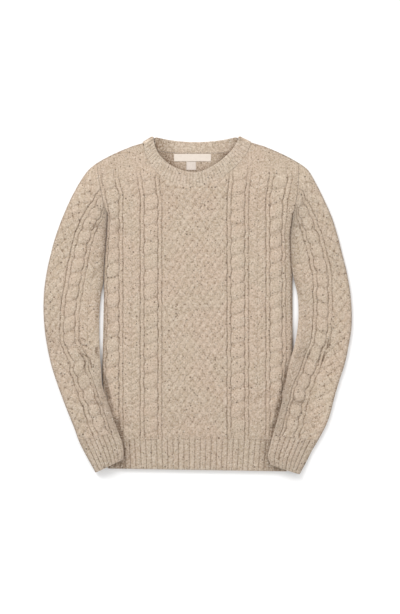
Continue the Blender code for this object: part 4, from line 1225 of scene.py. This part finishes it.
def woven_label(name, size, where, steps):
    """A thin ribbon lying on the inside of the back."""
    bm = bmesh.new()
    bmesh.ops.create_grid(bm, x_segments=steps[0], y_segments=steps[1], size=0.5)
    knit = bm.loops.layers.uv.new("knit")
    for face in bm.faces:
        for loop in face.loops:
            loop[knit].uv = ((loop.vert.co.x + 0.5) * size[0], (loop.vert.co.y + 0.5) * size[1])
    lowest = WALL + SEAM_GAP
    for vert in bm.verts:
        across, down = vert.co.x, -vert.co.y
        wave = 0.00018 * math.sin(across * 9.0 + 0.6)
        wave += 0.00012 * math.sin(across * 23.0 + down * 5.0)
        rim = END_RIM * (abs(across) > 0.475) + SIDE_RIM * (abs(down) > 0.44)
        height = lowest + LABEL_THICK + LABEL_LIFT + wave - rim
        vert.co = place(np.float64(where[0] + across * size[0]),
                        np.float64(where[1] + down * size[1]), np.float64(height))
    bmesh.ops.solidify(bm, geom=bm.faces[:], thickness=LABEL_THICK)
    bmesh.ops.recalc_face_normals(bm, faces=bm.faces[:])
    piece = to_piece(bm, name)
    piece.data.set_sharp_from_angle(angle=LABEL_SHARP)
    return piece


main_label = woven_label("main_label", LABEL_SIZE, LABEL_PLACE, (120, 24))
size_tab = woven_label("small_tab", TAB_SIZE, TAB_PLACE, (32, 26))

# %% [markdown]
# ## The yarn
#
# Tweed yarn is spun from wool of one oatmeal shade with nubs of other colours carded in: here
# dark brown ones, finer brown specks and a few of cream. Up close the cloth is rows of V-shaped
# stitches. They come from the UV in metres, so they follow the knitting over every cable, and they
# are too small for the mesh, so they are bump, with shade painted into their hollows. The nubs are
# scattered through the cloth whatever its stitches do, and the shade painted in the grooves and
# folds comes from the number stored on the points.

# %% Node helpers
WALE, COURSE = 0.0031, 0.0025
BROWN_NUB, DARK_SPECK = (0.120, 0.078, 0.048), (0.170, 0.110, 0.068)
CREAM_NUB = (0.84, 0.77, 0.66)

# How many lumps of each kind the wool has in a metre
BROAD, HEATHER, STRAND, FUZZ = 14.0, 135.0, 330.0, 1400.0
BROWN_NUBS, DARK_SPECKS, CREAM_NUBS = 140.0, 300.0, 230.0


class Nodes:
    """Short ways to add and link the nodes of one material."""

    def __init__(self, material):
        self.tree = material.node_tree
        self.shader = self.tree.nodes["Principled BSDF"]

    def add(self, kind, **settings):
        node = self.tree.nodes.new(kind)
        for key, value in settings.items():
            setattr(node, key, value)
        return node

    def link(self, source, target):
        self.tree.links.new(source, target)

    def set(self, node, **values):
        for name, value in values.items():
            node.inputs[name.replace("_", " ")].default_value = value

    def math(self, operation, first, second=0.0, third=0.0):
        node = self.add("ShaderNodeMath", operation=operation)
        for index, value in enumerate((first, second, third)):
            if isinstance(value, (int, float)):
                node.inputs[index].default_value = value
            else:
                self.link(value, node.inputs[index])
        return node.outputs[0]

    def mix(self, amount, first, second, blend="MIX"):
        node = self.add("ShaderNodeMix", data_type="RGBA", blend_type=blend)
        for socket, value in ((node.inputs[0], amount), (node.inputs[6], first),
                              (node.inputs[7], second)):
            if isinstance(value, tuple):
                socket.default_value = (*value, 1.0)
            elif isinstance(value, (int, float)):
                socket.default_value = value
            else:
                self.link(value, socket)
        return node.outputs[2]

    def ramp(self, value, low, high):
        node = self.add("ShaderNodeMapRange", interpolation_type="SMOOTHSTEP")
        self.link(value, node.inputs["Value"])
        self.set(node, From_Min=low, From_Max=high)
        return node.outputs[0]

    def noise(self, vector, scale, detail=2.0):
        node = self.add("ShaderNodeTexNoise")
        self.set(node, Scale=scale, Detail=detail)
        self.link(vector, node.inputs["Vector"])
        return node.outputs["Fac"]

    def spots(self, vector, scale, share, size):
        """Scattered nubs: some cells of a Voronoi pattern hold one, of uneven size."""
        cells = self.add("ShaderNodeTexVoronoi", voronoi_dimensions="2D")
        self.set(cells, Scale=scale)
        self.link(vector, cells.inputs["Vector"])
        parts = self.add("ShaderNodeSeparateColor")
        self.link(cells.outputs["Color"], parts.inputs[0])
        chosen = self.math("LESS_THAN", parts.outputs[0], share)
        reach = self.math("MULTIPLY_ADD", parts.outputs[1], size * 0.7, size * 0.3)
        near = self.math("SUBTRACT", reach, cells.outputs["Distance"])
        return self.math("MULTIPLY", chosen, self.ramp(near, 0.0, size * 0.35))

    def bump(self, height, strength, distance):
        node = self.add("ShaderNodeBump")
        self.set(node, Strength=strength, Distance=distance)
        self.link(height, node.inputs["Height"])
        return node


def new_material(name):
    """A material, with short ways to its nodes."""
    material = bpy.data.materials.new(name)
    material.use_nodes = True
    return material, Nodes(material)


# %% The stitches
def stitch_bump(nodes, wale, course):
    """Height of V-shaped stitches from the UV in metres."""
    uv = nodes.add("ShaderNodeUVMap", uv_map="knit")
    axes = nodes.add("ShaderNodeSeparateXYZ")
    nodes.link(uv.outputs[0], axes.inputs[0])
    wales = nodes.math("DIVIDE", axes.outputs[0], wale)
    courses = nodes.math("DIVIDE", axes.outputs[1], course)
    side = nodes.math("ABSOLUTE", nodes.math("SUBTRACT", nodes.math("FRACT", wales), 0.5))
    slanted = nodes.math("MULTIPLY_ADD", side, -1.5, courses)
    leg = nodes.math("SUBTRACT", nodes.math("MULTIPLY", nodes.math("FRACT", slanted), 2.0), 1.0)
    along = nodes.math("SUBTRACT", 1.0, nodes.math("MULTIPLY", leg, leg))
    across = nodes.math("SUBTRACT", nodes.math("MULTIPLY", side, 4.0), 1.0)
    over = nodes.math("SUBTRACT", 1.0, nodes.math("MULTIPLY", across, across))
    rounded = nodes.math("POWER", nodes.math("MAXIMUM", over, 0.0), 0.6)
    return nodes.math("MULTIPLY", rounded, nodes.math("MULTIPLY_ADD", along, 0.75, 0.25))


def tinted(shade, *amounts):
    """A colour made lighter or darker, each channel by its own amount."""
    return tuple(channel * amount for channel, amount in zip(shade, amounts))


def moved(nodes, vector, shift):
    """The same coordinates moved aside, so that two kinds of nub don't coincide."""
    aside = nodes.add("ShaderNodeVectorMath", operation="ADD")
    aside.inputs[1].default_value = (shift, shift * 0.6, 0.0)
    nodes.link(vector, aside.inputs[0])
    return aside.outputs[0]


def tweed(name, shade, fleck_share, groove_dark):
    """Oatmeal tweed wool with its stitches, nubs and soft fuzz."""
    material, nodes = new_material(name)
    objects = nodes.add("ShaderNodeTexCoord").outputs["Object"]
    stitches = stitch_bump(nodes, WALE, COURSE)
    broad = nodes.noise(objects, BROAD, 2.0)
    heather = nodes.noise(objects, HEATHER, 3.0)
    strand = nodes.noise(objects, STRAND, 3.0)
    fuzz = nodes.noise(objects, FUZZ, 3.0)
    dusk, light = tinted(shade, 0.73, 0.66, 0.57), tinted(shade, 1.20, 1.265, 1.37)
    colour = nodes.mix(nodes.ramp(strand, 0.38, 0.62), dusk, light)
    dim, pale = tinted(shade, 0.86, 0.86, 0.86), tinted(shade, 1.09, 1.11, 1.16)
    mottled = nodes.mix(nodes.ramp(heather, 0.36, 0.64), dim, pale)
    colour = nodes.mix(0.40, colour, mottled)
    mossy, rosy = tinted(shade, 0.955, 1.0, 0.98), tinted(shade, 1.06, 0.955, 0.96)
    cast = nodes.mix(nodes.ramp(broad, 0.40, 0.60), mossy, rosy)
    colour = nodes.mix(0.17, colour, cast)
    # Painted shade in the hollows between the stitches.
    hollow = nodes.math("SUBTRACT", 1.0, stitches)
    between = tinted(shade, 0.45, 0.45, 0.45)
    colour = nodes.mix(nodes.math("MULTIPLY", hollow, 0.26), colour, between)
    # Painted shade: the number on the points, broken up along the strands, darkens toward umber.
    groove = nodes.add("ShaderNodeAttribute", attribute_name="groove").outputs["Fac"]
    broken = nodes.math("MULTIPLY_ADD", nodes.ramp(strand, 0.36, 0.64), -0.70, 1.32)
    darkness = nodes.math("MULTIPLY", groove, nodes.math("MULTIPLY", broken, groove_dark))
    darkness = nodes.math("MINIMUM", darkness, 0.95)
    colour = nodes.mix(darkness, colour, tinted(shade, 0.30, 0.235, 0.18))
    brown = nodes.spots(objects, BROWN_NUBS, fleck_share, 0.30)
    specks = nodes.spots(moved(nodes, objects, 5.3), DARK_SPECKS, fleck_share * 1.6, 0.42)
    colour = nodes.mix(nodes.math("MULTIPLY", specks, 0.62), colour, DARK_SPECK)
    colour = nodes.mix(nodes.math("MULTIPLY", brown, 0.78), colour, BROWN_NUB)
    cream = nodes.spots(moved(nodes, objects, 3.1), CREAM_NUBS, fleck_share * 1.4, 0.40)
    colour = nodes.mix(nodes.math("MULTIPLY", cream, 0.50), colour, CREAM_NUB)
    nodes.link(colour, nodes.shader.inputs["Base Color"])
    nodes.set(nodes.shader, Roughness=0.92, Specular_IOR_Level=0.25, Sheen_Weight=0.18,
              Sheen_Roughness=0.6)
    coarse = nodes.bump(stitches, strength=0.9, distance=0.0010)
    hairs = nodes.math("ADD", strand, nodes.math("MULTIPLY", fuzz, 0.6))
    fine = nodes.bump(hairs, strength=0.6, distance=0.0004)
    nodes.link(coarse.outputs[0], fine.inputs["Normal"])
    nodes.link(fine.outputs[0], nodes.shader.inputs["Normal"])
    return material


# %% The label cloth
WEFT_STEP, TWILL_STEP = 0.00042, 0.0009


def ribbon(name, shade, darker_shade):
    """Cream woven ribbon: a fine diagonal weave with a slightly darker weft and dull clouds."""
    material, nodes = new_material(name)
    uv = nodes.add("ShaderNodeUVMap", uv_map="knit").outputs[0]
    axes = nodes.add("ShaderNodeSeparateXYZ")
    nodes.link(uv, axes.inputs[0])
    weft = nodes.math("SINE", nodes.math("MULTIPLY", axes.outputs[1], 2.0 * math.pi / WEFT_STEP))
    diagonal = nodes.math("ADD", axes.outputs[0], axes.outputs[1])
    twill = nodes.math("SINE", nodes.math("MULTIPLY", diagonal, 2.0 * math.pi / TWILL_STEP))
    weave = nodes.math("MULTIPLY_ADD", weft, 0.25, nodes.math("MULTIPLY_ADD", twill, 0.25, 0.5))
    cloudy = nodes.ramp(nodes.noise(uv, 160.0, 2.0), 0.4, 0.7)
    colour = nodes.mix(nodes.math("MULTIPLY", weave, 0.35), shade, darker_shade)
    colour = nodes.mix(nodes.math("MULTIPLY", cloudy, 0.35), colour, darker_shade)
    nodes.link(colour, nodes.shader.inputs["Base Color"])
    nodes.set(nodes.shader, Roughness=0.62, Sheen_Weight=0.15)
    threads = nodes.bump(weave, strength=0.5, distance=0.00015)
    nodes.link(threads.outputs[0], nodes.shader.inputs["Normal"])
    return material


# %% [markdown]
# ## Dressing the frame
#
# Each shell rides on the garment's one body and stands for its CAD node.

# %% Materials and bodies
# One oatmeal yarn throughout: the sleeves and ribs take darker copies of it as painted shade, and
# the neckband a lighter copy as painted light.
OATMEAL = (0.668, 0.532, 0.403)
SHADED_SLEEVE_OATMEAL = (0.645, 0.516, 0.390)
SHADED_RIB_OATMEAL = (0.630, 0.506, 0.384)
LIT_BAND_OATMEAL = (0.748, 0.607, 0.467)
front_wool = tweed("front_tweed", OATMEAL, 0.15, 0.84)
back_wool = tweed("back_tweed", OATMEAL, 0.15, 0.84)
sleeve_wool = tweed("sleeve_tweed", SHADED_SLEEVE_OATMEAL, 0.15, 0.84)
rib_wool = tweed("rib_tweed", SHADED_RIB_OATMEAL, 0.13, 0.75)
band_wool = tweed("band_tweed", LIT_BAND_OATMEAL, 0.08, 0.72)
label_cloth = ribbon("label_ribbon", (0.68, 0.60, 0.52), (0.58, 0.50, 0.43))
tab_cloth = ribbon("tab_ribbon", (0.61, 0.535, 0.475), (0.53, 0.46, 0.405))

dress(front, "front_panel", front_wool)
dress(back, "back_panel", back_wool)
dress(hem_front, "hem_rib_front", rib_wool)
dress(hem_back, "hem_rib_back", rib_wool)
for side, side_name in ((LEFT, "left"), (RIGHT, "right")):
    dress(sleeve_pieces[side], f"sleeve_{side_name}", sleeve_wool)
    dress(cuff_pieces[side], f"cuff_{side_name}", rib_wool)
dress(neckband, "neckband", band_wool)
dress(main_label, "neck_label", label_cloth)
dress(size_tab, "size_tab", tab_cloth)

# %% [markdown]
# ## Table, light and camera
#
# The garment is seen from straight above on white. A soft key light from the upper left leaves a
# faint shadow along the right and lower edges, and a much weaker one fills in from the right.

# %% Floor
FLOOR_HALF, FLOOR_GAP = 4.0, 0.0004
WHITE = (0.93, 0.93, 0.93, 1.0)
bm = bmesh.new()
bmesh.ops.create_grid(bm, x_segments=1, y_segments=1, size=FLOOR_HALF)
bmesh.ops.translate(bm, verts=bm.verts[:], vec=(0.0, 0.0, -FLOOR_GAP))
floor_mesh = bpy.data.meshes.new("floor")
bm.to_mesh(floor_mesh)
bm.free()
floor = bpy.data.objects.new("floor", floor_mesh)
bpy.context.scene.collection.objects.link(floor)
paper, paper_nodes = new_material("white_paper")
paper_nodes.set(paper_nodes.shader, Base_Color=WHITE, Roughness=0.9, Specular_IOR_Level=0.1)
floor_mesh.materials.append(paper)

# %% Light
SKY_STRENGTH = 0.80
world = bpy.data.worlds.new("studio")
bpy.context.scene.world = world
world.use_nodes = True
sky = world.node_tree.nodes["Background"]
sky.inputs["Color"].default_value = (1.0, 1.0, 1.0, 1.0)
sky.inputs["Strength"].default_value = SKY_STRENGTH

# Name, place, side of the soft box and watts
SOFT_LIGHTS = (
    ("key", (-1.35, 1.95, 2.33), 1.6, 64.5),
    ("fill", (1.8, -0.6, 2.6), 2.0, 17.0),
)


def soft_light(name, where, size, watts):
    """A square soft box aimed at the middle of the garment."""
    lamp = bpy.data.lights.new(name, "AREA")
    lamp.shape = "SQUARE"
    lamp.size = size
    lamp.energy = watts
    holder = bpy.data.objects.new(name, lamp)
    bpy.context.scene.collection.objects.link(holder)
    holder.location = where
    holder.rotation_mode = "QUATERNION"
    holder.rotation_quaternion = (-Vector(where)).to_track_quat("-Z", "Y")


for light in SOFT_LIGHTS:
    soft_light(*light)

# %% Camera
PHOTO_LONG_SIDE = 1.228
CAMERA_HEIGHT = 3.2
SENSOR_WIDTH = 36.0
AIM = (0.0055, -0.00325)
camera_data = bpy.data.cameras.new("camera")
camera_data.sensor_width = SENSOR_WIDTH
camera_data.lens = SENSOR_WIDTH * CAMERA_HEIGHT / PHOTO_LONG_SIDE
camera = bpy.data.objects.new("camera", camera_data)
bpy.context.scene.collection.objects.link(camera)
camera.location = (AIM[0], AIM[1], CAMERA_HEIGHT)
bpy.context.scene.camera = camera
bpy.context.scene.view_settings.view_transform = "Standard"
